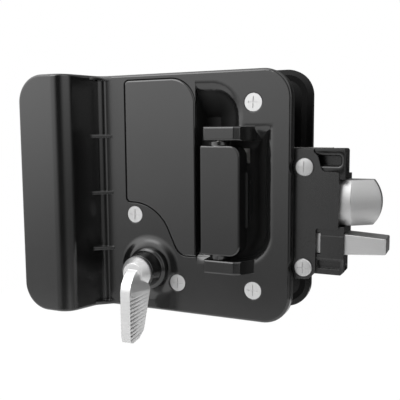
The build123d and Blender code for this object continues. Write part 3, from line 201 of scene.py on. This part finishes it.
trial = Graph(bpy.data.node_groups.new("trial", "ShaderNodeTree"))
rest_of_it = 1 - trial.add("ShaderNodeValue") * 0.5
print("nodes behind 1 - value * 0.5:", len(rest_of_it.graph.tree.nodes))
bpy.data.node_groups.remove(trial.tree)


# %% [markdown]
# ## A surface to paint on
#
# Every finish on this lock is a Principled shader with something that changes over the surface. A
# plain colour would look like an unfinished model. `Surface` keeps the shader, Object coordinates
# and a chain of bumps together. Noise is scaled by the size of its blotches in metres, so that a
# grain of 0.3 mm is 0.3 mm on the plate as well as on a screw.


# %% Surface
class Surface(Graph):
    """A material under construction."""

    def __init__(self, name, color, roughness, metallic=0.0, ior=1.5):
        self.material = bpy.data.materials.new(name)
        self.material.use_nodes = True
        super().__init__(self.material.node_tree)
        self.shader = self.tree.nodes["Principled BSDF"]
        self.shader.inputs["Base Color"].default_value = (*color, 1.0)
        self.shader.inputs["Roughness"].default_value = roughness
        self.shader.inputs["Metallic"].default_value = metallic
        self.shader.inputs["IOR"].default_value = ior
        self.position = self.add("ShaderNodeTexCoord", output="Object")
        self.relief = None

    def axis(self, letter):
        """One object coordinate, in metres."""
        return self.add("ShaderNodeSeparateXYZ", inputs={0: self.position}, output=letter)

    def noise(self, size, stretch=(1, 1, 1), detail=2.0, place=None):
        """Noise whose blotches are about size metres wide, drawn out by stretch."""
        scaled = self.add("ShaderNodeMapping", inputs={
            "Vector": place or self.position, "Scale": [1 / (size * s) for s in stretch]})
        return self.add("ShaderNodeTexNoise", inputs={"Vector": scaled, "Scale": 1.0, "Detail": detail})

    def mix(self, share, low, high):
        """Colour between low and high by a value."""
        slots = {0: share, 6: (*low, 1.0), 7: (*high, 1.0)}
        return self.add("ShaderNodeMix", {"data_type": "RGBA"}, slots, output=2)

    def set(self, name, value):
        self.link(value, self.shader.inputs[name])
        return self

    def bump(self, height, depth, strength=1.0):
        """Raise the surface by height times depth metres."""
        inputs = {"Height": height, "Distance": depth, "Strength": strength}
        if self.relief:
            inputs["Normal"] = self.relief
        self.relief = self.add("ShaderNodeBump", inputs=inputs)
        return self.set("Normal", self.relief)


def grey(value):
    """A colour without a tint."""
    return (value, value, value)


trial = Surface("trial", grey(0.5), 0.5)
trial.bump(trial.noise(1 * MM), 0.01 * MM)
print("nodes of a surface with one bump:", len(trial.tree.nodes))
bpy.data.materials.remove(trial.material)


# %% [markdown]
# ## Black plastics
#
# The plates, the pad and the latch case are moulded black plastic with a fine satin grain. The
# plastic is nearly black, and the greys that one sees on it are mirrored light, so its colour is
# very dark and its gloss carries the look. A flat gloss would be too perfect: on real mouldings
# it wanders a little where the mould was polished. In the dish round the paddle the grain is rougher,
# and shade is painted in: with depth a Mix Shader goes over to a rougher black that mirrors less.
# The outside handle is a casting with a powder coat, which is coarser, and the gasket is foam rubber.

# %% Black plastics
PLATE_FACE = -4.5 * MM


def moulded_plastic(name, base, roughness, grain, depth, ior=1.53):
    """Black plastic with a fine grain and a gloss that wanders a little."""
    surface = Surface(name, grey(base), roughness, ior=ior)
    cloud = surface.noise(14 * MM, detail=3.0)
    fine = surface.noise(grain, detail=1.0)
    surface.set("Roughness", cloud * 0.07 + fine * 0.05 + (roughness - 0.06))
    surface.set("Base Color", surface.mix(cloud, grey(base * 0.8), grey(base * 1.2)))
    return surface.bump(fine, depth, 0.35)


def paint_hollow_shade(surface, start, end):
    """Paint shade in where Y lies between two depths behind the plate's face: a rougher black that mirrors
    less.
    """
    # A rougher black that mirrors less light: painted shade for the deep dish.
    dull = surface.add("ShaderNodeBsdfPrincipled", inputs={
        "Base Color": (*grey(0.005), 1.0), "Roughness": 0.6, "Specular IOR Level": 0.3})
    # How far the painted shade has come in, from 0 at the first depth to 1 at the second.
    shade_by_depth = surface.axis("Y").smooth(PLATE_FACE + start, PLATE_FACE + end)
    both = surface.add("ShaderNodeMixShader", inputs={
        0: shade_by_depth, 1: Value(surface, surface.shader.outputs[0]), 2: dull})
    surface.link(both, surface.tree.nodes["Material Output"].inputs["Surface"])
    return surface


black_plastic = moulded_plastic("black_plastic", 0.004, 0.17, 0.3 * MM, 0.006 * MM, ior=1.58)
# The dish of the inside plate gets painted shade from 0.6 to 3.6 mm behind its face.
black_plastic = paint_hollow_shade(black_plastic, 0.6 * MM, 3.6 * MM).material
pad_plastic = moulded_plastic("pad_plastic", 0.006, 0.18, 0.25 * MM, 0.006 * MM, ior=1.62).material
case_plastic = moulded_plastic("case_plastic", 0.005, 0.28, 0.3 * MM, 0.008 * MM).material
bezel_plastic = moulded_plastic("bezel_plastic", 0.002, 0.28, 0.3 * MM, 0.006 * MM, ior=1.34).material
bush_plastic = moulded_plastic("bush_plastic", 0.004, 0.18, 0.3 * MM, 0.005 * MM).material
powder_coat = moulded_plastic("powder_coat", 0.012, 0.36, 0.45 * MM, 0.03 * MM).material
foam_rubber = moulded_plastic("foam_rubber", 0.003, 0.75, 0.5 * MM, 0.05 * MM, ior=1.2).material
plastics = (black_plastic, pad_plastic, case_plastic, bezel_plastic, bush_plastic, powder_coat, foam_rubber)
print("plastics and the nodes in each", [(m.name, len(m.node_tree.nodes)) for m in plastics])

# %% [markdown]
# ## Metals
#
# The slam bolt, the deadbolt and the turn are plated castings that were brushed, the screws are
# zinc plated and the key plugs are brass. Metal without marks looks like chrome. Anisotropic
# shading could stretch its highlights, but fine noise drawn out along one axis also shows the
# single marks close by. A turned part has its marks in circles, so there the noise reads the
# distance from the axis instead of x and z. The axis of the turn comes from its joint.


# %% Metals
def brushed_metal(name, base, roughness, stretch, depth=0.006 * MM, tint=(1, 1, 1), axis=None):
    """Metal with fine marks along a straight line, or in circles round an axis along Y."""
    color = tuple(base * t for t in tint)
    surface = Surface(name, color, roughness, metallic=1.0)
    place = None
    if axis:
        across, up = surface.axis("X") - axis[0], surface.axis("Z") - axis[1]
        distance = (across * across + up * up).math("SQRT")
        place = surface.add("ShaderNodeCombineXYZ", inputs={0: distance, 1: surface.axis("Y") * 0.6})
    marks = surface.noise(0.14 * MM, stretch, detail=3.0, place=place)
    cloud = surface.noise(7 * MM, detail=2.0)
    surface.set("Roughness", marks * 0.1 + cloud * 0.06 + (roughness - 0.08))
    dull, bright = [c * 0.9 for c in color], [min(c * 1.08, 1.0) for c in color]
    surface.set("Base Color", surface.mix(marks, dull, bright))
    return surface.bump(marks, depth, 0.3).material


joint_of = {joint["name"]: joint for joint in frame["record"]["behaviour"]["joints"]}
turn_place = joint_of["thumb_turn_hinge"]["pos_m"]
TURN_AXIS = (turn_place[0], turn_place[2])
ALONG_X, ALONG_Z, ALL_ROUND = (30, 1, 1), (1, 1, 30), (1, 1, 1)
bolt_metal = brushed_metal("bolt_metal", 0.4, 0.42, ALONG_Z)
deadbolt_metal = brushed_metal("deadbolt_metal", 0.45, 0.38, ALONG_X)
turn_metal = brushed_metal("turn_metal", 0.51, 0.46, ALL_ROUND, axis=TURN_AXIS)
screw_metal = brushed_metal("screw_metal", 0.5, 0.44, ALL_ROUND)
zinc_metal = brushed_metal("zinc_metal", 0.42, 0.44, ALL_ROUND)
strip_steel = brushed_metal("strip_steel", 0.45, 0.36, ALONG_X, tint=(1.0, 0.99, 0.96))
spring_steel = brushed_metal("spring_steel", 0.36, 0.3, ALL_ROUND)
cylinder_metal = brushed_metal("cylinder_metal", 0.6, 0.24, ALL_ROUND)
plug_brass = brushed_metal("plug_brass", 0.6, 0.28, ALONG_Z, tint=(1.0, 0.82, 0.5))
print("turn axis in mm", [round(v / MM, 1) for v in TURN_AXIS])

# %% [markdown]
# ## From loose triangles to finished pieces
#
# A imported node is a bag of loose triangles, so its shading is faceted and its edges are razor
# sharp, where each edge of a moulding is rounded by a tenth of a millimetre or two. On a copy, the
# triangles are joined, flat patches become one face, and a narrow bevel catches the light. A bevel
# with clamping would shrink to nothing on such dense curves, so it runs without. It can then
# throw a vertex far out, and the loop looks for such spikes, leaves out the edges beside them and
# starts again. Weighted normals let the large faces lead the shading, which keeps them flat.


# %% Dressing helpers
WELD, SLIVER, FLAT = 2e-6, 1e-6, math.radians(0.2)    # two lengths in metres and an angle
SPIKE, NEAR_SPIKE, TRIES = 1.2, 2.5, 6    # the first two are shares of the bevel's width


def body_name(node):
    """The body that carries a node."""
    for body, nodes in frame["record"]["behaviour"]["bodies"].items():
        if node in nodes:
            return body
    raise KeyError(node)


def mark_sharp(mesh, angle):
    """Give weight 1 to each edge whose two faces meet at more than angle degrees."""
    made = bmesh.new()
    made.from_mesh(mesh)
    limit = math.radians(angle)
    weights = [float(len(e.link_faces) == 2 and e.calc_face_angle() > limit) for e in made.edges]
    surface = BVHTree.FromBMesh(made)
    made.free()
    mesh.attributes.new("bevel_weight_edge", "FLOAT", "EDGE").data.foreach_set("value", weights)
    return surface


def baked(piece):
    """The mesh of a piece with its modifiers in it."""
    bpy.context.view_layer.update()
    seen = piece.evaluated_get(bpy.context.evaluated_depsgraph_get())
    return bpy.data.meshes.new_from_object(seen)


def spike_roots(mesh, surface, width):
    """Points next to vertices that a bevel has thrown off the surface that it started from."""
    far = [surface.find_nearest(v.co)[3] > SPIKE * width for v in mesh.vertices]
    pairs = [tuple(e.vertices) for e in mesh.edges if far[e.vertices[0]] != far[e.vertices[1]]]
    return [mesh.vertices[b if far[a] else a].co.copy() for a, b in pairs]


def keep_inside(mesh, low, high):
    """Draw what a bevel has pushed out of a box back to the box's sides."""
    for vertex in mesh.vertices:
        vertex.co = [min(max(value, a), b) for value, a, b in zip(vertex.co, low, high)]


def show(name, mesh, material, edge, angle=32.0):
    """Round a mesh's sharp edges, let large faces lead its shading, and give it a material."""
    piece = bpy.data.objects.new(name, mesh)
    bpy.context.scene.collection.objects.link(piece)
    mesh.materials.clear()
    mesh.materials.append(material)
    mesh.shade_smooth()
    surface, width = mark_sharp(mesh, angle), edge * MM
    low, high = (Vector([pick(v.co[i] for v in mesh.vertices) for i in range(3)]) for pick in (min, max))
    bevel = piece.modifiers.new("edge", "BEVEL")
    bevel.width, bevel.segments, bevel.limit_method = width, 2, "WEIGHT"
    bevel.use_clamp_overlap = bevel.loop_slide = False
    weigh = piece.modifiers.new("shading", "WEIGHTED_NORMAL")
    weigh.mode, weigh.weight = "FACE_AREA", 50
    for _ in range(TRIES):
        rounded = baked(piece)
        roots = spike_roots(rounded, surface, width)
        if not roots:
            break
        weights = mesh.attributes["bevel_weight_edge"].data
        for index, pair in enumerate(mesh.edges):
            ends = [mesh.vertices[v].co for v in pair.vertices]
            if any((end - root).length < NEAR_SPIKE * width for end in ends for root in roots):
                weights[index].value = 0.0
    piece.modifiers.clear()
    keep_inside(rounded, low, high)
    piece.data = rounded
    bpy.data.meshes.remove(mesh)
    rounded.name = name
    return piece, len(roots)


def join_faces(mesh, place=None):
    """Join a mesh's loose triangles and turn each flat patch of them into one face."""
    made = bmesh.new()
    made.from_mesh(mesh)
    if place:
        made.transform(place)
    bmesh.ops.remove_doubles(made, verts=made.verts, dist=WELD)
    bmesh.ops.dissolve_degenerate(made, dist=SLIVER, edges=made.edges)
    bmesh.ops.dissolve_limit(made, angle_limit=FLAT, verts=made.verts, edges=made.edges)
    joined = bpy.data.meshes.new("joined")
    made.to_mesh(joined)
    made.free()
    return joined


def dress(node, material, edge=0.12):
    """Replace a CAD node by a copy with joined faces, small rounded edges and a material."""
    source = frame["nodes"][node]
    piece, spikes = show(node + "_shown", join_faces(source.data, source.matrix_world), material, edge)
    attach(piece, body_name(node))
    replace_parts(piece, node)
    print(node, "faces", len(piece.data.polygons), "spikes", spikes)


# %% [markdown]
# ## The big mouldings and castings
#
# The plates, the pad, the paddle, the latch case and the two bolts are what one sees first. They
# could be modelled again by hand, but their shapes come from the CAD unchanged, which keeps each
# seat and gap right. Only the width of the rounded edge differs: the large plates have softer
# edges than the latch case, and thin stamped strips have almost none. The edges of the outside
# plate stay narrow, because a wide one would draw a bright line in the dark behind the inside plate.

# %% Plates, case, bolts and turn
dress("inside_escutcheon", black_plastic, edge=0.2)
dress("palm_pad", pad_plastic, edge=0.22)
dress("inside_paddle", black_plastic, edge=0.2)
dress("turn_bush", bush_plastic, edge=0.15)
dress("latch_case", case_plastic, edge=0.15)
dress("latch_cover", case_plastic, edge=0.08)
dress("outside_bezel", bezel_plastic, edge=0.08)
dress("bezel_gasket", foam_rubber, edge=0.05)
dress("outside_handle", powder_coat, edge=0.3)
dress("thumb_turn", turn_metal, edge=0.12)
dress("slam_bolt", bolt_metal, edge=0.25)
dress("deadbolt", deadbolt_metal, edge=0.2)

# %% Cylinders, strips and plates of steel
for name in ("latch_cylinder", "deadbolt_cylinder"):
    dress(name, cylinder_metal, edge=0.12)
for name in ("latch_plug", "deadbolt_plug"):
    dress(name, plug_brass, edge=0.08)
for name in ("chassis_plate", "draw_bar", "deadbolt_link", "release_lever", "turn_crank", "latch_cam",
             "turn_spindle", "lever_post", "cam_nut"):
    dress(name, strip_steel, edge=0.06)

# %% [markdown]
# ## Screws by rule
#
# The lock has nine screws: four countersunk ones in the inside plate, two pan heads in the latch
# case's cover and three in the chassis plate. They could be copied by hand, but a screw is a
# turned profile with a cross cut into its head, so one rule makes them all. A grid is rolled up
# into a solid of revolution and turned face side out, two thin boxes are cut out of its head, and
# a copy goes to each given point. A seeded random angle of a few degrees turns each, because no
# fitter leaves the slots quite in line. The cut needs the exact solver, because the fast one
# leaves open edges. The trial at the end of the cell rolls up a plain disc.


# %% A tree of Geometry Nodes
class Recipe(Graph):
    """A Geometry Nodes tree with named inputs."""

    def __init__(self, name, sizes):
        super().__init__(bpy.data.node_groups.new(name, "GeometryNodeTree"))
        face = self.tree.interface
        face.new_socket("Geometry", in_out="INPUT", socket_type="NodeSocketGeometry")
        for size, value in sizes.items():
            face.new_socket(size, in_out="INPUT", socket_type="NodeSocketFloat").default_value = value
        face.new_socket("Material", in_out="INPUT", socket_type="NodeSocketMaterial")
        face.new_socket("Geometry", in_out="OUTPUT", socket_type="NodeSocketGeometry")

    def input(self, name):
        """One of the tree's own inputs."""
        return self.add("NodeGroupInput", output=name)

    def choose(self, index, choices):
        """Pick one of several numbers by an index."""
        settings = {"data_type": "FLOAT", "choices": len(choices)}
        return self.add("GeometryNodeIndexSwitch", settings, dict(enumerate((index, *choices))))

    def turned(self, profile, sides):
        """Roll a grid up into a solid of revolution about Y, from (radius, y) rows."""
        rows = len(profile)
        grid = self.add("GeometryNodeMeshGrid", inputs={"Vertices X": sides + 1, "Vertices Y": rows})
        index = self.add("GeometryNodeInputIndex")
        row = index.math("MODULO", rows)
        angle = ((index - row) / rows) * (2 * math.pi / sides)
        radius = self.choose(row, [r for r, _ in profile])
        place = self.add("ShaderNodeCombineXYZ", inputs={
            0: radius * angle.math("COSINE"), 1: self.choose(row, [y for _, y in profile]),
            2: radius * angle.math("SINE")})
        rolled = self.add("GeometryNodeSetPosition", inputs={"Geometry": grid, "Position": place})
        outward = self.add("GeometryNodeFlipFaces", inputs={"Mesh": rolled})
        return self.add("GeometryNodeMergeByDistance", inputs={"Geometry": outward, "Distance": SLIVER})

    def finish(self, geometry):
        """End the tree in Realize Instances and Set Material."""
        real = self.add("GeometryNodeRealizeInstances", inputs={"Geometry": geometry})
        material = self.input("Material")
        painted = self.add("GeometryNodeSetMaterial", inputs={"Geometry": real, "Material": material})
        self.add("NodeGroupOutput", inputs={0: painted})
        return self.tree


def grow(name, tree, points, material, **sizes):
    """Run a tree on points and return the mesh that it makes."""
    seed = bpy.data.meshes.new(name + "_points")
    seed.from_pydata([tuple(p) for p in points], [], [])
    holder = bpy.data.objects.new(name + "_holder", seed)
    bpy.context.scene.collection.objects.link(holder)
    modifier = holder.modifiers.new("recipe", "NODES")
    modifier.node_group = tree
    for item in tree.interface.items_tree:
        key = item.name.replace(" ", "_").lower()
        if item.in_out == "INPUT" and key in sizes:
            modifier[item.identifier] = sizes[key]
        if item.in_out == "INPUT" and item.name == "Material":
            modifier[item.identifier] = material
    mesh = baked(holder)
    bpy.data.objects.remove(holder)
    bpy.data.meshes.remove(seed)
    return mesh


trial = Recipe("trial", {})
disc = grow("trial", trial.finish(trial.turned([(0.0, 0.0), (MM, 0.0), (MM, MM), (0.0, MM)], 8)),
            [(0, 0, 0)], screw_metal)
print("faces of a rolled-up disc with 8 sides:", len(disc.polygons))
bpy.data.meshes.remove(disc)
bpy.data.node_groups.remove(trial.tree)


# %% The screw tree
def screw_recipe(name, flat):
    """A countersunk screw where flat, or else one with a low pan head."""
    recipe = Recipe(name, {"Head Radius": 3.7 * MM, "Head Depth": 1.7 * MM, "Shank Radius": 2 * MM,
                           "Length": 30 * MM, "Cross Size": 5 * MM, "Cross Width": 0.45 * MM,
                           "Cross Depth": 0.35 * MM, "Most Turn": 0.06})
    head, depth, shank = (recipe.input(n) for n in ("Head Radius", "Head Depth", "Shank Radius"))
    length, point, rim = recipe.input("Length"), 0.4 * MM, 0.3 * MM
    if flat:
        rows = [(0.0, 0.0), (head, 0.0), (head, 0.08 * MM), (shank, depth), (shank, length - point),
                (shank - point, length), (0.0, length)]
    else:
        rows = [(0.0, 0.0), (head * 0.55, 0.05 * MM), (head - rim, 0.2 * MM), (head, 0.2 * MM + rim),
                (head, depth), (shank, depth), (shank, length), (0.0, length)]
    body = recipe.turned(rows, 40)
    size, width, cut = (recipe.input(n) for n in ("Cross Size", "Cross Width", "Cross Depth"))
    for x, z in ((size, width), (width, size)):
        box = recipe.add("ShaderNodeCombineXYZ", inputs={0: x, 1: cut * 2, 2: z})
        slot = recipe.add("GeometryNodeMeshCube", inputs={"Size": box})
        settings = {"operation": "DIFFERENCE", "solver": "EXACT"}
        body = recipe.add("GeometryNodeMeshBoolean", settings, {0: body, 1: slot})
    placed = recipe.add("GeometryNodeInstanceOnPoints", inputs={
        "Points": recipe.input("Geometry"), "Instance": body})
    most = recipe.input("Most Turn")
    turn = recipe.add("FunctionNodeRandomValue", {"data_type": "FLOAT"},
                      {2: most * -1.0, 3: most, "Seed": 3}, output=1)
    spin = recipe.add("ShaderNodeCombineXYZ", inputs={1: turn})
    return recipe.finish(recipe.add("GeometryNodeRotateInstances", inputs={
        "Instances": placed, "Rotation": spin}))


flat_screws, pan_screws = screw_recipe("flat screws", True), screw_recipe("pan screws", False)
print("nodes of the two screw trees", len(flat_screws.nodes), len(pan_screws.nodes))

# %% [markdown]
# ## Where the screws sit
#
# Each node of screws holds several solids in one mesh. Their places could be typed in again, but
# then they would stay behind when the CAD changes. Walking from vertex to vertex along the edges
# finds each separate solid, and its box gives the screw's place, head and length. The solids come
# out of a set, whose order can change from one start of Blender to the next, and the order decides
# which random turn each screw gets. So they are sorted by height, and by X where two are level.


# %% Islands of a node
def islands(node):
    """Lowest and highest corner of each separate solid of a node, from top to bottom and left to right."""
    source = frame["nodes"][node].data
    made = bmesh.new()
    made.from_mesh(source)
    bmesh.ops.remove_doubles(made, verts=made.verts, dist=WELD)
    left, found = set(made.verts), []
    while left:
        reach = [left.pop()]
        group = list(reach)
        while reach:
            for edge in reach.pop().link_edges:
                for vert in edge.verts:
                    if vert in left:
                        left.discard(vert)
                        reach.append(vert)
                        group.append(vert)
        low = Vector([min(v.co[i] for v in group) for i in range(3)])
        found.append((low, Vector([max(v.co[i] for v in group) for i in range(3)])))
    made.free()
    return sorted(found, key=lambda corners: (-corners[0].z, corners[0].x))


print("solids in the plate's screw node", len(islands("escutcheon_screws")))

# %% Screws in place
def fit_screws(node, tree, metal, depth, shank, cross):
    """Replace a node of screws by grown ones with the same places, heads and lengths."""
    solids = islands(node)
    low, high = solids[0]
    head = (high.x - low.x) / 2
    points = [((a.x + b.x) / 2, a.y, (a.z + b.z) / 2) for a, b in solids]
    mesh = grow(node, tree, points, metal, head_radius=head, head_depth=depth * MM,
                shank_radius=shank * MM, length=high.y - low.y, cross_size=cross * MM)
    joined = join_faces(mesh)
    joined.materials.append(metal)
    joined.shade_smooth()
    joined.set_sharp_from_angle(angle=math.radians(32))
    piece = bpy.data.objects.new(node + "_shown", joined)
    bpy.context.scene.collection.objects.link(piece)
    bpy.data.meshes.remove(mesh)
    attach(piece, body_name(node))
    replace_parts(piece, node)
    print(node, len(points), "screws, head radius", round(head / MM, 2), "mm")


fit_screws("escutcheon_screws", flat_screws, screw_metal, 1.7, 2.0, 4.6)
fit_screws("cover_screws", pan_screws, zinc_metal, 1.2, 1.5, 4.6)
fit_screws("chassis_screws", pan_screws, zinc_metal, 1.5, 1.5, 3.6)

# %% [markdown]
# ## Springs
#
# A spring pushes the slam bolt out, and a small one brings the outside handle back. The CAD winds
# each from angular wire to keep its faces few. A Screw modifier could sweep a circle round, but a
# spiral curve with a round section needs only a radius, a height and a number of turns. The radius
# and the height come from the CAD's box, and the turns are given.


# %% Spring tree and springs
def spring_recipe():
    """A spring along Z from the origin, with capped ends."""
    recipe = Recipe("spring", {"Radius": 2.6 * MM, "Wire": 0.4 * MM, "Height": 20 * MM, "Turns": 10.0})
    radius = recipe.input("Radius")
    spiral = recipe.add("GeometryNodeCurveSpiral", inputs={
        "Resolution": 28, "Rotations": recipe.input("Turns"), "Start Radius": radius, "End Radius": radius,
        "Height": recipe.input("Height")})
    round_wire = recipe.add("GeometryNodeCurvePrimitiveCircle", inputs={
        "Resolution": 10, "Radius": recipe.input("Wire")})
    wound = recipe.add("GeometryNodeCurveToMesh", inputs={
        "Curve": spiral, "Profile Curve": round_wire, "Fill Caps": True})
    return recipe.finish(wound)


END = 1.2


def wind(node, tree, along, turns, wire):
    """Replace a spring node by one of round wire in the same box, END wire radii short of its ends."""
    low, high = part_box(node)
    size, middle = high - low, (low + high) / 2
    side = 2 if along == 0 else 0
    radius = size[side] / 2 - wire * MM
    mesh = grow(node, tree, [(0, 0, 0)], spring_steel, radius=radius, wire=wire * MM,
                height=size[along] - 2 * END * wire * MM, turns=float(turns))
    aim = Matrix.Rotation(math.radians(90), 4, "Y") if along == 0 else Matrix.Identity(4)
    start = middle.copy()
    start[along] = low[along] + END * wire * MM
    mesh.transform(Matrix.Translation(start) @ aim)
    mesh.shade_smooth()
    piece = bpy.data.objects.new(node + "_shown", mesh)
    bpy.context.scene.collection.objects.link(piece)
    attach(piece, body_name(node))
    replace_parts(piece, node)
    print(node, "length", round(size[along] / MM, 1), "mm, faces", len(mesh.polygons))
    return piece


springs = spring_recipe()
latch_spring = wind("latch_spring", springs, 0, 10, 0.4)
wind("handle_spring", springs, 2, 5, 0.4)
bolt_travel = joint_of["latch_slide"]["range_m"][1]
spring_low, spring_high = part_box("latch_spring")
1 - bolt_travel / (spring_high.x - spring_low.x)
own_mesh(latch_spring)
print("the latch spring shortens by", round(bolt_travel / MM, 1), "mm")

# %% [markdown]
# ## Pins, clips and washers
#
# Pins, spring clips and a washer hold the train together inside the lock. They could be dressed
# as the castings are, but they are a few millimetres small and mostly hidden, and the CAD's shape
# is the real one. So they keep their CAD meshes and only get their metal: spring steel for clips
# and washers, plated steel for the rest.

# %% Small hardware
stood_for = {n for piece in bpy.context.scene.objects for n in piece.get("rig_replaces", [])}
for name, node in frame["nodes"].items():
    if name not in stood_for:
        material = spring_steel if "clip" in name or "washer" in name else strip_steel
        node.data.materials.clear()
        node.data.materials.append(material)
print("kept from the CAD", len(frame["nodes"]) - len(stood_for))

# %% [markdown]
# ## Studio
#
# Black plastic shows little but what it mirrors, so the studio is a ring of soft panels: a wide
# one on the left in front, brighter at the top, a weaker one on the right with a dark gap between
# them, and dimness behind. Panels could be meshes that give off light, but as sums of two angles
# in the world they have soft sides and cast no shadows. Only camera rays see the plain white
# background. Glossy rays have to see the panels instead: in a room that is white all round, the
# plates would turn an even grey, and the slope of the wing and the dish would be lost.


# %% World
def make_world():
    """Soft panels by angle in degrees: around grows from the front to the right, rise upwards."""
    world = bpy.data.worlds.new("studio")
    world.use_nodes = True
    bpy.context.scene.world = world
    graph = Graph(world.node_tree)
    graph.tree.nodes.clear()
    way = graph.add("ShaderNodeTexCoord", output="Generated")
    x, y, z = (graph.add("ShaderNodeSeparateXYZ", inputs={0: way}, output=axis) for axis in "XYZ")
    around = x.math("ARCTAN2", y * -1.0) * (180 / math.pi)
    rise = z.math("ARCSINE") * (180 / math.pi)
    window = around.smooth(-150, -60) * (1 - around.smooth(-18, 6))
    window = window * (1.05 - around.smooth(-38, -30) * 0.25)
    left_panel = window * (rise.smooth(-18, 14) * 2.0 + 0.62)
    right_panel = around.smooth(20, 50) * (1 - around.smooth(74, 94)) * (rise.smooth(-6, 8) * 1.0 + 0.42)
    ceiling = rise.smooth(15, 50) * 0.7
    glow = left_panel + right_panel + ceiling + 0.05
    lit = graph.add("ShaderNodeBackground", inputs={"Color": (1, 1, 1, 1), "Strength": glow})
    white = graph.add("ShaderNodeBackground", inputs={"Color": (1, 1, 1, 1), "Strength": 1.0})
    seen = graph.add("ShaderNodeLightPath", output="Is Camera Ray")
    both = graph.add("ShaderNodeMixShader", inputs={0: seen, 1: lit, 2: white})
    graph.add("ShaderNodeOutputWorld", inputs={"Surface": both})
    print("world nodes", len(graph.tree.nodes))


make_world()

# %% [markdown]
# ## Lamp and floor
#
# One large lamp from the upper left gives the edges their thin highlights. A small one would make
# hard spots on the metal. The pale floor lies well below the lock, because the lock is fixed in a
# door and stands on nothing. A camera ray sees the floor nearly white and keeps a little of its
# own colour, with the shadow on it.


# %% Lamp and floor
def area_light(name, place, target, size, watts):
    """A square lamp that looks at a target."""
    data = bpy.data.lights.new(name, "AREA")
    data.shape, data.size, data.energy = "SQUARE", size, watts
    light = bpy.data.objects.new(name, data)
    light.location = Vector(place)
    light.rotation_euler = (Vector(target) - Vector(place)).to_track_quat("-Z", "Y").to_euler()
    bpy.context.scene.collection.objects.link(light)
    print(name, "lamp", watts, "W, distance in m", round((Vector(target) - Vector(place)).length, 2))


def make_floor(level, reach):
    """A pale floor that the camera sees as nearly white."""
    material = bpy.data.materials.new("pale_floor")
    material.use_nodes = True
    graph = Graph(material.node_tree)
    graph.tree.nodes.clear()
    paint = graph.add("ShaderNodeBsdfDiffuse", inputs={"Color": (0.85, 0.85, 0.85, 1)})
    white = graph.add("ShaderNodeEmission", inputs={"Color": (1, 1, 1, 1), "Strength": 1.0})
    seen = graph.add("ShaderNodeLightPath", output="Is Camera Ray")
    both = graph.add("ShaderNodeMixShader", inputs={0: seen * 0.97, 1: paint, 2: white})
    graph.add("ShaderNodeOutputMaterial", inputs={"Surface": both})
    mesh = bpy.data.meshes.new("floor")
    corners = [(x * reach, y * reach, level) for x, y in ((-1, -1), (1, -1), (1, 1), (-1, 1))]
    mesh.from_pydata(corners, [], [(0, 1, 2, 3)])
    mesh.materials.append(material)
    floor = bpy.data.objects.new("floor", mesh)
    bpy.context.scene.collection.objects.link(floor)
    print("floor level in mm", round(level / MM, 1))


middle = (cad_low + cad_high) / 2
area_light("key", (-0.45, -1.0, 0.8), middle, 0.7, 6.0)
FLOOR_DROP, FLOOR_REACH = 0.3, 0.9
make_floor(cad_low.z - FLOOR_DROP, FLOOR_REACH)
bpy.context.scene.view_settings.view_transform = "Standard"
